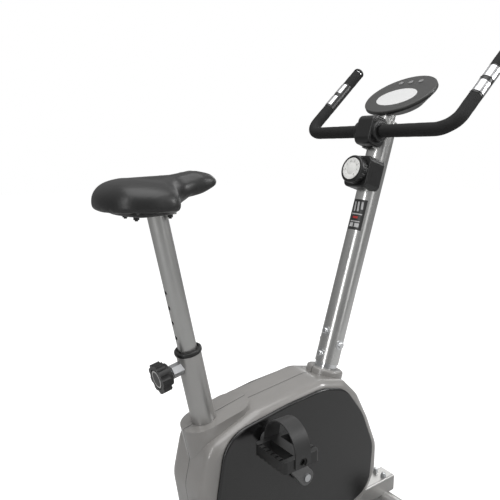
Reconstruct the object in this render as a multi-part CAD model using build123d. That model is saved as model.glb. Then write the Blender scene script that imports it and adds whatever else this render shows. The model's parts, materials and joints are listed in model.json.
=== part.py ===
"""Upright magnetic exercise bike, modelled as it would come apart on a bench.

+X points the way the rider faces, +Y to the rider's left and +Z up, in millimetres. The origin lies on
the floor under the middle of the machine. Two leaning tubes set the layout: the seat tube, whose plane
SEAT has its Z up the tube, and the front post on its neck, whose plane NECK has its Z up the post. A
distance up either tube is counted from the top of the keel.
"""
from build123d import *
from math import cos, sin, tan, radians
import os

# ---------------------------------------------------------------- driving sizes
# Layout of the welded frame
SHIFT_X = 2.2                      # moves the whole machine along X, to centre it on the origin
SEAT_LEAN = 12.0                   # degrees the seat tube leans back
POST_LEAN = 17.2                   # degrees the front post leans forward
SEAT_FOOT_X = -161.0 + SHIFT_X     # where the seat tube's axis meets the keel's top
NECK_FOOT_X = -3.5 + SHIFT_X       # where the neck's axis meets the keel's top
KEEL_TOP = 110.0
KEEL_HEIGHT = 48.0
KEEL_WIDTH = 50.0
KEEL_WALL = 2.5

# Floor stabilizers
STABILIZER_RADIUS = 25.0
STABILIZER_WALL = 2.0
STABILIZER_LENGTH = 440.0
STABILIZER_Z = 45.0
REAR_STABILIZER_X = -375.0 + SHIFT_X
FRONT_STABILIZER_X = 330.0 + SHIFT_X
END_CAP_LENGTH = 34.0
END_CAP_WALL = 4.0
FOOT_WIDTH = 46.0
WHEEL_RADIUS = 27.0
WHEEL_WIDTH = 16.0
STABILIZER_BOLT_RADIUS = 4.0
STABILIZER_BOLT_SPACING = 28.0     # between the two bolts of one stabilizer, across the keel

# Seat side
SEAT_TUBE_RADIUS = 25.4
SEAT_TUBE_WALL = 1.8
SEAT_TUBE_LENGTH = 504.0
BUSH_FLANGE_RADIUS = 28.0
BUSH_FLANGE_THICKNESS = 10.0
BUSH_DEPTH = 62.0
SEAT_POST_RADIUS = 19.05
SEAT_POST_WALL = 1.8
PIN_HEIGHT = 480.5                 # up the seat tube, where the plunger crosses it
HOLE_PITCH = 32.0
HOLES_ABOVE_PIN = 5
HOLES_BELOW_PIN = 1
HOLE_RADIUS = 4.2
POST_BELOW_LAST_HOLE = 55.0
SADDLE_PLATE_Z = 885.0             # underside of the steel plate on the seat post
SADDLE_PLATE_THICKNESS = 3.0
SADDLE_PLATE_LENGTH = 92.0
SADDLE_PLATE_WIDTH = 64.0
SADDLE_PLATE_SHIFT = -18.0          # plate's middle from the post's axis
SADDLE_BASE_THICKNESS = 10.0
SADDLE_LENGTH = 249.0
SADDLE_HALF_WIDTH = 98.0
SADDLE_NOSE_HALF_WIDTH = 38.0
SADDLE_BASE_INSET = 30.0           # from the cushion's edge to the base's
SADDLE_BEHIND_POST = 116.0         # saddle's rear edge behind the post's axis at the plate
SADDLE_HEIGHT = 50.0               # thickness of the cushion's rear pad

# Pop-pin of the seat
PIN_RADIUS = 3.9
PIN_TIP = 13.0                     # distance of the pin's tip from the tube's axis
PIN_PULL = 12.0
BOSS_REACH = 45.0
BOSS_ACROSS_FLATS = 24.0
KNOB_RADIUS = 30.5
KNOB_DEPTH = 26.0
KNOB_FACE = 78.0                   # distance of the knob's face from the tube's axis
KNOB_FLUTES = 9

# Front side
NECK_RADIUS = 26.3
NECK_WALL = 2.5
NECK_LENGTH = 518.0
POST_RADIUS = 28.5
POST_WALL = 2.0
POST_BOTTOM = 401.0
POST_TOP = 1000.0
POST_BOLT_RADIUS = 4.0
POST_BOLT_HEAD_RADIUS = 7.5
WASHER_RADIUS = 12.0
WASHER_THICKNESS = 2.0
REAR_BOLTS = (476.0, 420.0)        # up the neck, on the rear face
SIDE_BOLT = 451.0                  # up the neck, one on each side

# Handlebar
BAR_RADIUS = 12.7
BAR_WALL = 1.6
BAR_BEHIND_POST = 43.5
BAR_HEIGHT = 963.0                 # up the post
BAR_HALF_WIDTH = 220.0
BAR_BEND_RADIUS = 45.0
GRIP_RISE = 42.5                   # degrees the grips rise forward
GRIP_LENGTH = 250.0                # from the bend's corner to the tube's end
FOAM_RADIUS = 15.1
FOAM_START = 35.5                  # distance from the centre line
SENSOR_START = 99.0                # along the grip, from the bend's corner
SENSOR_END = 191.0
PLATE_THICKNESS = 0.9
PLATE_LENGTH = 34.0
PALM_SHARE = 0.57                  # plates face the palm: this much to the rear, the rest outwards
CLAMP_HALF_WIDTH = 20.0
CLAMP_THICKNESS = 5.0
COVER_WALL = 2.5
COVER_HALF_WIDTH = 35.0            # over the collars round the bar
COVER_COLLAR_RADIUS = 25.0
COVER_BODY_HALF_WIDTH = 25.0
COVER_BACK = -70.0                 # across the post's axis, negative towards the rider
COVER_FRONT = -16.0
COVER_BOTTOM = 928.0
COVER_TOP = 998.0

# Tension control on the rear of the post
CONTROL_HEIGHT = 863.0
CONTROL_HALF_WIDTH = 36.0
CONTROL_HALF_HEIGHT = 38.0
CONTROL_REAR = -56.0
CONTROL_SEAM = -43.0
CONTROL_FRONT = -8.0
DIAL_FACE = -77.0
DIAL_KNOB_RADIUS = 33.0
DIAL_RADIUS = 26.2
DIAL_RIDGES = 24

# Console
CONSOLE_X = 338.8 + SHIFT_X
CONSOLE_Z = 1136.0
CONSOLE_TILT = 35.0                # degrees from level, facing the rider
CONSOLE_HALF_WIDTH = 95.0
CONSOLE_HALF_DEPTH = 82.0
CONSOLE_RIM = 9.0                  # depth of the rim all round
CONSOLE_THICKNESS = 34.0           # depth at the flat of the dished back
CONSOLE_BACK_HALF_WIDTH = 56.0     # that flat
CONSOLE_BACK_HALF_DEPTH = 46.0
CONSOLE_WALL = 2.4
WINDOW_HALF_WIDTH = 57.0
WINDOW_HALF_DEPTH = 37.0
WINDOW_OFFSET = -15.0              # window's middle from the face's, towards the rider
BUTTON_ROW = 50.0                  # buttons' middles from the face's, away from the rider
BUTTON_RADIUS = 6.5
BUTTON_SPACING = 30.0
BUTTON_RISE = 1.8                  # height of a button's cap above the window

# Drive
CRANK_X = -30.0 + SHIFT_X
CRANK_Z = 290.0
CRANK_LENGTH = 165.0
CRANK_ANGLE = 130.0                # right crank at rest, degrees from +X towards +Z
CRANK_Y = 84.0                     # inner face of each arm
CRANK_THICKNESS = 14.0
AXLE_RADIUS = 8.5
SHELL_RADIUS = 20.0
SHELL_WALL = 2.5
SHELL_HALF_LENGTH = 34.0
MID_BEAM_RADIUS = 17.0
PULLEY_RADIUS = 105.0
PULLEY_Y = -45.0                   # middle plane of the belt
BELT_WIDTH = 12.0
BELT_THICKNESS = 3.0
SMALL_PULLEY_RADIUS = 16.0
FLYWHEEL_X = 146.0 + SHIFT_X
FLYWHEEL_Z = 215.0
FLYWHEEL_RADIUS = 80.0
FLYWHEEL_WIDTH = 34.0
FLYWHEEL_Y = -9.0                  # middle plane of the rim
FLYWHEEL_AXLE_RADIUS = 5.0
FORK_PLATE = 4.0
FORK_RIGHT_Y = -60.0               # outer face of the right fork plate
FORK_LEFT_Y = 20.0                 # outer face of the left fork plate
MAGNET_GAP = 2.5
MAGNET_THICKNESS = 7.0
BRACKET_THICKNESS = 3.0
BRACKET_START = 32.0               # degrees round the flywheel from +X
BRACKET_END = 112.0
BRACKET_SWING = 1.2                # degrees the bracket closes on the rim
PEDAL_LENGTH = 88.0
PEDAL_WIDTH = 94.0
PEDAL_HEIGHT = 24.0
PEDAL_INNER_Y = 106.0
SPINDLE_RADIUS = 6.0
STRAP_RISE = 68.0
STRAP_WIDTH = 38.0
STRAP_THICKNESS = 2.6

# Housing
HOUSING_HALF_WIDTH = 68.0
HOUSING_WALL = 3.0
HOUSING_EDGE = 22.0                # rounding of the shells' outer edges
SIDE_COVER_THICKNESS = 6.5
SIDE_COVER_WALL = 2.5
SIDE_COVER_EDGE = 5.0
TURRET_RADIUS = 44.0
NECK_TURRET_TOP = 389.0
SEAT_TURRET_TOP = 350.0
SEAT_TURRET_LENGTH = 70.0

# Clearances
FIT_RUNNING = 0.06                 # radial, shafts that turn or slide
FIT_POST = 0.15                    # radial, seat post in its bush
FIT_COVER = 0.4                    # moulded covers round tubes
FIT_SOFT = 0.3                     # soft pieces from their neighbours

# ---------------------------------------------------------------- frames and small tools
os.makedirs("parts", exist_ok=True)


def leaning(x, z, lean):
    """Plane in the middle of the bike whose Z runs up a tube leaning forward by lean degrees."""
    a = radians(lean)
    return Plane(origin=(x, 0, z), x_dir=(cos(a), 0, -sin(a)), z_dir=(sin(a), 0, cos(a)))


SEAT = leaning(SEAT_FOOT_X, KEEL_TOP, -SEAT_LEAN)
NECK = leaning(NECK_FOOT_X, KEEL_TOP, POST_LEAN)


def up(plane, height, across=0.0):
    """World point at a height up a leaning plane and a distance across it."""
    return plane.from_local_coords(Vector(across, 0, height))


def rod(plane, radius, start, end):
    """Round bar along the plane's Z."""
    return plane * Pos(0, 0, (start + end) / 2) * Cylinder(radius, end - start)


def pipe(plane, outer, inner, start, end):
    """Round tube along the plane's Z."""
    return rod(plane, outer, start, end) - rod(plane, inner, start - 1, end + 1)


def across(x, z):
    """Plane whose Z runs along +Y through a point of the middle plane; its X is the world's X."""
    return Plane(origin=(x, 0, z), x_dir=(1, 0, 0), z_dir=(0, 1, 0))


def block(plane, x0, x1, y0, y1, z0, z1):
    """Box between two corners given in the plane's own axes."""
    centre = Pos((x0 + x1) / 2, (y0 + y1) / 2, (z0 + z1) / 2)
    return plane * centre * Box(x1 - x0, y1 - y0, z1 - z0)


def rounded_face(points, radii=None):
    """Flat outline with straight sides and rounded corners."""
    outline = make_face(Polyline(*points, close=True))
    for point, radius in zip(points, radii or []):
        corner = outline.vertices().sort_by_distance((*point, 0))[0]
        outline = fillet(corner, radius)
    return outline


def side_plate(points, y0, y1, radii=None):
    """Plate cut from an outline in X and Z, its corners rounded, between two values of Y."""
    outline = rounded_face(points, radii)
    plane = Plane(origin=(0, y0, 0), x_dir=(1, 0, 0), z_dir=(0, -1, 0))
    return extrude(plane * outline, amount=-(y1 - y0))


def half(y_sign, size=3000.0):
    """Everything on one side of the middle plane."""
    return Pos(0, y_sign * size / 2, 0) * Box(size, size, size)


def mirrored(shape):
    """The same shape on the other side of the middle plane."""
    return mirror(shape, about=Plane.XZ)


def near_rim(shape, point):
    """Circular edge of a round piece nearest to a point."""
    return shape.edges().filter_by(GeomType.CIRCLE).sort_by_distance(point)[0]


def far_rim(shape, point):
    """Circular edge of a round piece farthest from a point."""
    return shape.edges().filter_by(GeomType.CIRCLE).sort_by_distance(point)[-1]


def save(name, *shapes):
    """Write one named sub-part, each piece of it a separate solid."""
    solids = [solid for shape in shapes for solid in shape.solids()]
    whole = solids[0] if len(solids) == 1 else Compound(children=solids)
    export_step(whole, f"parts/{name}.step")


GROUND = Plane.XY

# ---------------------------------------------------------------- welded frame
# The keel is a rectangular steel tube that sits on the two stabilizers and carries everything else.
keel_back = REAR_STABILIZER_X - STABILIZER_RADIUS - 8
keel_front = FRONT_STABILIZER_X + STABILIZER_RADIUS + 8
keel_outer = block(GROUND, keel_back, keel_front, -KEEL_WIDTH / 2, KEEL_WIDTH / 2, KEEL_TOP - KEEL_HEIGHT, KEEL_TOP)
keel_outer = fillet(keel_outer.edges().filter_by(Axis.X), 6)
keel_bore = block(GROUND, keel_back - 1, keel_front + 1, -KEEL_WIDTH / 2 + KEEL_WALL, KEEL_WIDTH / 2 - KEEL_WALL,
                  KEEL_TOP - KEEL_HEIGHT + KEEL_WALL, KEEL_TOP - KEEL_WALL)
keel_bore = fillet(keel_bore.edges().filter_by(Axis.X), 4)


def stabilizer_axis(x):
    """Plane along one stabilizer, its Z running to the rider's left."""
    return across(x, STABILIZER_Z)


def bolt_plane(x, y):
    """Upright plane at one of the stabilizer's bolts."""
    return Plane(origin=(x, y, 0))


bolt_places = [(x, side * STABILIZER_BOLT_SPACING / 2)
               for x in (REAR_STABILIZER_X, FRONT_STABILIZER_X) for side in (-1, 1)]
keel = keel_outer - keel_bore
for x in (REAR_STABILIZER_X, FRONT_STABILIZER_X):
    keel -= rod(stabilizer_axis(x), STABILIZER_RADIUS, -100, 100)
for x, y in bolt_places:
    keel -= rod(bolt_plane(x, y), STABILIZER_BOLT_RADIUS + 0.3, 60, KEEL_TOP + 1)
save("keel_beam", keel)

# Seat tube, welded to the keel's top, open at the upper end for the bush and cross-drilled for the pin.
seat_inner = SEAT_TUBE_RADIUS - SEAT_TUBE_WALL
plunger_origin = up(SEAT, PIN_HEIGHT)
PLUNGER = Plane(origin=plunger_origin, x_dir=(0, 1, 0), z_dir=-SEAT.x_dir)
below_keel = block(GROUND, -900, 900, -200, 200, -200, KEEL_TOP)
seat_tube = pipe(SEAT, SEAT_TUBE_RADIUS, seat_inner, -40, SEAT_TUBE_LENGTH) - below_keel
pin_way = PIN_RADIUS + FIT_RUNNING
seat_tube -= rod(PLUNGER, pin_way, 10, BOSS_REACH + 5)
save("seat_tube", seat_tube)

# Hexagonal boss of the pop-pin, welded square to the seat tube on its rear.
boss = PLUNGER * Pos(0, 0, 0) * extrude(RegularPolygon(BOSS_ACROSS_FLATS / 2, 6, major_radius=False), BOSS_REACH)
boss -= rod(SEAT, SEAT_TUBE_RADIUS, 0, SEAT_TUBE_LENGTH + 50)
boss -= rod(PLUNGER, pin_way, 0, BOSS_REACH + 5)
save("plunger_boss", boss)

# Neck: the stub that the front post slides over, drilled for the four post bolts.
neck = pipe(NECK, NECK_RADIUS, NECK_RADIUS - NECK_WALL, -40, NECK_LENGTH) - below_keel


def radial(height, direction):
    """Plane on the post's axis whose Z points out of the post in a direction across it."""
    return Plane(origin=up(NECK, height), x_dir=NECK.z_dir, z_dir=direction)


post_bolt_planes = [radial(h, -NECK.x_dir) for h in REAR_BOLTS]
post_bolt_planes += [radial(SIDE_BOLT, Vector(0, side, 0)) for side in (-1, 1)]
bolt_way = POST_BOLT_RADIUS + 0.2
for plane in post_bolt_planes:
    neck -= rod(plane, bolt_way, 10, 60)
CABLE_EXIT = 318.0                 # up the neck, where the tension cable comes out at the front
cable_exit = Plane(origin=up(NECK, CABLE_EXIT), x_dir=(0, 1, 0), z_dir=NECK.x_dir)
neck -= rod(cable_exit, 5.0, 10, 60)
save("neck_stub", neck)

# Bottom bracket: a beam between the two tubes with the crank's shell welded through it.
CRANK = across(CRANK_X, CRANK_Z)
mid_plane = Plane(origin=(CRANK_X, 0, CRANK_Z), x_dir=(0, 1, 0), z_dir=(1, 0, 0))
mid_beam = rod(mid_plane, MID_BEAM_RADIUS, -250, 150)
mid_beam -= rod(SEAT, SEAT_TUBE_RADIUS, -40, 400) + block(SEAT, -300, 0, -60, 60, -40, 400)
mid_beam -= rod(NECK, NECK_RADIUS, -40, 400) + block(NECK, 0, 300, -60, 60, -40, 400)
bottom_bracket = mid_beam + rod(CRANK, SHELL_RADIUS, -SHELL_HALF_LENGTH, SHELL_HALF_LENGTH)
bottom_bracket -= rod(CRANK, SHELL_RADIUS - SHELL_WALL, -SHELL_HALF_LENGTH - 1, SHELL_HALF_LENGTH + 1)
save("bottom_bracket", bottom_bracket)

# Fork: two plates on feet that hold the flywheel's axle beside the rim.
FLY = across(FLYWHEEL_X, FLYWHEEL_Z)
fork_foot = 4.0
fork_outline = [(FLYWHEEL_X - 34, KEEL_TOP + fork_foot), (FLYWHEEL_X + 34, KEEL_TOP + fork_foot),
                (FLYWHEEL_X + 15, FLYWHEEL_Z + 16), (FLYWHEEL_X - 15, FLYWHEEL_Z + 16)]


def fork_plate(y0, y1, foot_y0, foot_y1):
    """One upright plate with its welded foot on the keel."""
    plate = side_plate(fork_outline, y0, y1, radii=[1, 1, 12, 12])
    foot = block(GROUND, FLYWHEEL_X - 34, FLYWHEEL_X + 34, foot_y0, foot_y1, KEEL_TOP, KEEL_TOP + fork_foot)
    return plate + foot - rod(FLY, FLYWHEEL_AXLE_RADIUS + 0.1, -100, 100)


fork_right = fork_plate(FORK_RIGHT_Y, FORK_RIGHT_Y + FORK_PLATE, FORK_RIGHT_Y, -6)
fork_left = fork_plate(FORK_LEFT_Y - FORK_PLATE, FORK_LEFT_Y, 2, FORK_LEFT_Y)
save("flywheel_fork", fork_right, fork_left)

# ---------------------------------------------------------------- stabilizers, caps, feet and wheels
stab_half = STABILIZER_LENGTH / 2


def stabilizer(x):
    """Round steel tube across the bike, drilled for its two carriage bolts."""
    tube = pipe(stabilizer_axis(x), STABILIZER_RADIUS, STABILIZER_RADIUS - STABILIZER_WALL, -stab_half, stab_half)
    for side in (-1, 1):
        tube -= rod(bolt_plane(x, side * STABILIZER_BOLT_SPACING / 2), STABILIZER_BOLT_RADIUS + 0.3, 0, 100)
    return tube


save("rear_stabilizer", stabilizer(REAR_STABILIZER_X))
save("front_stabilizer", stabilizer(FRONT_STABILIZER_X))

cap_inner = STABILIZER_RADIUS + 0.1
cap_outer = cap_inner + END_CAP_WALL


def end_cap(x):
    """Left-hand cap: a cup over the tube's end with a foot block down to the floor."""
    axis = stabilizer_axis(x)
    inner_y = stab_half - END_CAP_LENGTH
    outer_y = stab_half + END_CAP_WALL
    cup = rod(axis, cap_outer, inner_y, outer_y)
    cup = fillet(far_rim(cup, axis.origin), 3.5)
    foot = block(GROUND, x - FOOT_WIDTH / 2, x + FOOT_WIDTH / 2, inner_y, outer_y - 1, 0, STABILIZER_Z)
    foot = fillet(foot.edges().filter_by(Axis.Z), 5)
    return cup + foot - rod(axis, cap_inner, inner_y - 1, stab_half + 0.1)


rear_cap = end_cap(REAR_STABILIZER_X)
save("rear_end_caps", rear_cap, mirrored(rear_cap))

# The front caps carry the transport wheels on a lug ahead of the foot.
wheel_x = FRONT_STABILIZER_X + cap_outer + WHEEL_RADIUS + 3
wheel_z = WHEEL_RADIUS + 3
wheel_y = stab_half - END_CAP_LENGTH / 2
wheel_axis = across(wheel_x, wheel_z)
axle_radius = 4.0
lug_outline = [(FRONT_STABILIZER_X, STABILIZER_Z - 18), (wheel_x - 9, wheel_z - 10), (wheel_x + 11, wheel_z - 10),
               (wheel_x + 11, wheel_z + 11), (wheel_x - 9, wheel_z + 11), (FRONT_STABILIZER_X, STABILIZER_Z + 24)]
lug_gap = WHEEL_WIDTH / 2 + 1.0
lug_inner = side_plate(lug_outline, wheel_y - lug_gap - 4, wheel_y - lug_gap, radii=[1, 1, 7, 7, 5, 1])
lug_outer = side_plate(lug_outline, wheel_y + lug_gap, wheel_y + lug_gap + 4, radii=[1, 1, 7, 7, 5, 1])
front_cap = end_cap(FRONT_STABILIZER_X) + lug_inner + lug_outer
front_cap -= rod(stabilizer_axis(FRONT_STABILIZER_X), cap_inner, 0, stab_half + 0.1)
front_cap -= rod(wheel_axis, axle_radius, 0, 400)
save("front_end_caps", front_cap, mirrored(front_cap))

wheel_axle = rod(wheel_axis, axle_radius, wheel_y - lug_gap - 4, wheel_y + lug_gap + 4)
wheel_axle += rod(wheel_axis, axle_radius + 3, wheel_y + lug_gap + 4, wheel_y + lug_gap + 7)
wheel_axle += rod(wheel_axis, axle_radius + 3, wheel_y - lug_gap - 7, wheel_y - lug_gap - 4)
save("wheel_axles", wheel_axle, mirrored(wheel_axle))

wheel = rod(wheel_axis, WHEEL_RADIUS, wheel_y - WHEEL_WIDTH / 2, wheel_y + WHEEL_WIDTH / 2)
wheel = fillet(wheel.edges().filter_by(GeomType.CIRCLE), 3)
wheel -= rod(wheel_axis, axle_radius + FIT_RUNNING, wheel_y - 20, wheel_y + 20)
for side in (-1, 1):
    recess = pipe(wheel_axis, WHEEL_RADIUS - 7, axle_radius + 4, wheel_y + side * 6 - 2.5, wheel_y + side * 6 + 2.5)
    wheel -= recess
save("wheel_left", wheel)
save("wheel_right", mirrored(wheel))

# Carriage bolts up through each stabilizer and the keel, each with a domed nut on top.
fasteners = []
for x, y in bolt_places:
    place = bolt_plane(x, y)
    rise = (STABILIZER_RADIUS ** 2 - (STABILIZER_BOLT_RADIUS + 4) ** 2) ** 0.5
    head_z = STABILIZER_Z - rise - 1.5
    bolt = rod(place, STABILIZER_BOLT_RADIUS, head_z, KEEL_TOP + 12)
    head = rod(place, STABILIZER_BOLT_RADIUS + 4, head_z - 3, head_z + 2)
    head -= rod(stabilizer_axis(x), STABILIZER_RADIUS, -100, 100)
    fasteners.append(bolt + head)
    nut = place * Pos(0, 0, KEEL_TOP) * extrude(RegularPolygon(6.5, 6, major_radius=False), 8)
    nut += place * Pos(0, 0, KEEL_TOP + 8) * Sphere(6.2)
    nut -= block(place, -20, 20, -20, 20, KEEL_TOP - 20, KEEL_TOP)
    nut -= rod(place, STABILIZER_BOLT_RADIUS, KEEL_TOP - 1, KEEL_TOP + 12)
    fasteners.append(nut)
save("stabilizer_fasteners", *fasteners)

# ---------------------------------------------------------------- seat bush, post and pop-pin
bush_bore = SEAT_POST_RADIUS + FIT_POST
flange_end = SEAT_TUBE_LENGTH + BUSH_FLANGE_THICKNESS
flange = rod(SEAT, BUSH_FLANGE_RADIUS, SEAT_TUBE_LENGTH, flange_end)
flange = fillet(flange.edges().filter_by(GeomType.CIRCLE), 3.5)
bush = flange + rod(SEAT, seat_inner - 0.05, SEAT_TUBE_LENGTH - BUSH_DEPTH, SEAT_TUBE_LENGTH + 1)
bush -= rod(SEAT, bush_bore, 300, 700)
groove = pipe(SEAT, bush_bore + 3.5, bush_bore - 1, flange_end - 3, flange_end + 1)
bush -= groove
bush -= rod(PLUNGER, PIN_RADIUS + 0.5, 10, 60)
save("seat_bush", bush)

post_bottom = PIN_HEIGHT - HOLES_BELOW_PIN * HOLE_PITCH - POST_BELOW_LAST_HOLE
above_plate = block(GROUND, -900, 900, -200, 200, SADDLE_PLATE_Z, 1500)
seat_post = pipe(SEAT, SEAT_POST_RADIUS, SEAT_POST_RADIUS - SEAT_POST_WALL, post_bottom, 850) - above_plate
for index in range(-HOLES_BELOW_PIN, HOLES_ABOVE_PIN + 1):
    height = PIN_HEIGHT + index * HOLE_PITCH
    hole_plane = Plane(origin=up(SEAT, height), x_dir=(0, 1, 0), z_dir=-SEAT.x_dir)
    seat_post -= rod(hole_plane, HOLE_RADIUS, 8, 30)
post_head_x = SEAT_FOOT_X - (SADDLE_PLATE_Z - KEEL_TOP) * tan(radians(SEAT_LEAN))
plate_x = post_head_x + SADDLE_PLATE_SHIFT
plate = block(GROUND, plate_x - SADDLE_PLATE_LENGTH / 2, plate_x + SADDLE_PLATE_LENGTH / 2,
              -SADDLE_PLATE_WIDTH / 2, SADDLE_PLATE_WIDTH / 2, SADDLE_PLATE_Z, SADDLE_PLATE_Z + SADDLE_PLATE_THICKNESS)
plate = fillet(plate.edges().filter_by(Axis.Z), 10)
saddle_bolt_x, saddle_bolt_y = 33.0, 24.0
saddle_bolts = [(plate_x + sx * saddle_bolt_x, sy * saddle_bolt_y) for sx in (-1, 1) for sy in (-1, 1)]
stud_radius = 3.0
for x, y in saddle_bolts:
    plate -= rod(Plane(origin=(x, y, 0)), stud_radius + 0.3, 800, 1000)
save("seat_post", seat_post + plate)

pin = rod(PLUNGER, PIN_RADIUS, PIN_TIP, KNOB_FACE - 7)
pin = chamfer(near_rim(pin, up(SEAT, PIN_HEIGHT)), 1.2)
save("plunger_pin", pin)

knob_back = KNOB_FACE - KNOB_DEPTH
knob = rod(PLUNGER, KNOB_RADIUS, knob_back + 8, KNOB_FACE)
knob += PLUNGER * Pos(0, 0, knob_back + 4) * Cylinder(KNOB_RADIUS - 8, 8)
for index in range(KNOB_FLUTES):
    angle = 360 * index / KNOB_FLUTES
    knob -= PLUNGER * Rot(0, 0, angle) * Pos(KNOB_RADIUS + 4, 0, KNOB_FACE - 10) * Cylinder(7.5, 60)
knob -= pipe(PLUNGER, KNOB_RADIUS - 9.5, KNOB_RADIUS - 13, KNOB_FACE - 1.5, KNOB_FACE + 1)
knob -= rod(PLUNGER, PIN_RADIUS + FIT_RUNNING, knob_back - 1, KNOB_FACE - 6.9)
save("seat_knob", knob)

# ---------------------------------------------------------------- saddle
saddle_back = post_head_x - SADDLE_BEHIND_POST
saddle_front = saddle_back + SADDLE_LENGTH
plate_top = SADDLE_PLATE_Z + SADDLE_PLATE_THICKNESS
base_top = plate_top + SADDLE_BASE_THICKNESS
w = SADDLE_HALF_WIDTH
nose = SADDLE_NOSE_HALF_WIDTH


def saddle_plan(inset):
    """Outline of the saddle from above: a wide rear pad drawn in to a rounded nose."""
    right = [(saddle_back + inset, 0), (saddle_back + inset + 8, w * 0.46), (saddle_back + inset + 25, w * 0.76),
             (saddle_back + 60, w * 0.95 - inset * 0.6), (saddle_back + 94, w - inset),
             (saddle_back + 120, w * 0.90 - inset), (saddle_back + 138, w * 0.66 - inset),
             (saddle_back + 156, nose + 7 - inset), (saddle_front - 48, nose - inset),
             (saddle_front - 14, nose * 0.66 - inset), (saddle_front - inset, 0)]
    curve = Spline(*right, tangents=[(0, 1), (0, -1)])
    other = Spline(*[(x, -y) for x, y in right], tangents=[(0, -1), (0, 1)])
    return make_face([curve, other])


pad_top = base_top + SADDLE_HEIGHT
side_points = [(saddle_back, base_top + FIT_SOFT), (saddle_back + 1, pad_top - 10), (saddle_back + 30, pad_top + 1),
               (saddle_back + 110, pad_top - 6), (saddle_front - 52, pad_top + 15), (saddle_front - 14, pad_top + 10),
               (saddle_front, pad_top - 6), (saddle_front - 12, pad_top - 20), (saddle_back + 150, base_top + 12),
               (saddle_back + 118, base_top + FIT_SOFT)]
side_profile = side_plate(side_points, -w - 5, w + 5, radii=[3, 18, 40, 80, 60, 12, 8, 20, 60, 30])
cushion = extrude(Pos(0, 0, base_top - 20) * saddle_plan(0), 140) & side_profile
save("saddle_cushion", cushion)

base = extrude(Pos(0, 0, plate_top) * saddle_plan(SADDLE_BASE_INSET), SADDLE_BASE_THICKNESS)
base &= block(GROUND, saddle_back, saddle_back + 158, -w, w, 0, 2000)
base = fillet(base.edges().group_by(Axis.Z)[0], SADDLE_BASE_THICKNESS * 0.6)
for x, y in saddle_bolts:
    base -= rod(Plane(origin=(x, y, 0)), stud_radius, plate_top - 1, base_top - 3)
save("saddle_base", base)

saddle_fasteners = []
for x, y in saddle_bolts:
    place = Plane(origin=(x, y, 0))
    saddle_fasteners.append(rod(place, stud_radius, SADDLE_PLATE_Z - 8, base_top - 3))
    nut = place * Pos(0, 0, SADDLE_PLATE_Z - 5.5) * extrude(RegularPolygon(5, 6, major_radius=False), 5.5)
    saddle_fasteners.append(nut - rod(place, stud_radius, SADDLE_PLATE_Z - 10, SADDLE_PLATE_Z + 5))
save("saddle_fasteners", *saddle_fasteners)

# ---------------------------------------------------------------- front post and its bolts
front_post = pipe(NECK, POST_RADIUS, POST_RADIUS - POST_WALL, POST_BOTTOM, POST_TOP)
for plane in post_bolt_planes:
    front_post -= rod(plane, bolt_way, 15, 60)
CONTROL = Plane(origin=up(NECK, CONTROL_HEIGHT), x_dir=(0, 1, 0), z_dir=-NECK.x_dir)
front_post -= rod(CONTROL, 5.0, 10, 60)
save("front_post", front_post)

post_fasteners = []
for plane in post_bolt_planes:
    washer = rod(plane, WASHER_RADIUS, 0, POST_RADIUS + 40) & pipe(
        NECK, POST_RADIUS + WASHER_THICKNESS, POST_RADIUS, 350, 560)
    washer -= rod(plane, bolt_way, 0, 100)
    washer = Part() + [s for s in washer.solids() if (s.center() - plane.origin).dot(plane.z_dir) > 0]
    seat = POST_RADIUS + WASHER_THICKNESS
    bolt = rod(plane, POST_BOLT_RADIUS, NECK_RADIUS - NECK_WALL - 6, seat + 1)
    head = rod(plane, POST_BOLT_HEAD_RADIUS, seat - 3, seat + 5)
    head = fillet(far_rim(head, plane.origin), 3)
    head -= rod(NECK, POST_RADIUS + WASHER_THICKNESS, 350, 560)
    post_fasteners += [washer, bolt + head]
save("post_fasteners", *post_fasteners)

# ---------------------------------------------------------------- handlebar, its bracket and cover
bar_centre = up(NECK, BAR_HEIGHT, -BAR_BEHIND_POST)
BAR = across(bar_centre.X, bar_centre.Z)
rise = radians(GRIP_RISE)


def bar_path(side, start_y, end):
    """Centre line on one side: out along Y, round the bend and up the grip to a distance past the corner."""
    corner = (bar_centre.X, side * BAR_HALF_WIDTH, bar_centre.Z)
    last = (corner[0] + end * cos(rise), corner[1], corner[2] + end * sin(rise))
    return FilletPolyline((bar_centre.X, side * start_y, bar_centre.Z), corner, last, radius=BAR_BEND_RADIUS)


def swept(path, outer, inner):
    """Round tube of one thickness along a path."""
    start = Plane(origin=path @ 0, z_dir=path % 0)
    body = sweep(start * Circle(outer), path=path)
    if inner > 0:
        body -= sweep(start * Circle(inner), path=path)
    return body


def grip_plane(side):
    """Plane at the bend's corner whose Z runs up the grip and whose X points outwards."""
    return Plane(origin=(bar_centre.X, side * BAR_HALF_WIDTH, bar_centre.Z), x_dir=(0, side, 0),
                 z_dir=(cos(rise), 0, sin(rise)))


bar_side = swept(bar_path(1, 0, GRIP_LENGTH), BAR_RADIUS, BAR_RADIUS - BAR_WALL)
save("handlebar", bar_side + mirrored(bar_side))

foam_inner = BAR_RADIUS + 0.05
for name, side in (("grip_left", 1), ("grip_right", -1)):
    long_sleeve = swept(bar_path(side, FOAM_START, SENSOR_START), FOAM_RADIUS, foam_inner)
    tip_sleeve = pipe(grip_plane(side), FOAM_RADIUS, foam_inner, SENSOR_END, GRIP_LENGTH - 4)
    save(name, long_sleeve, tip_sleeve)

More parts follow.
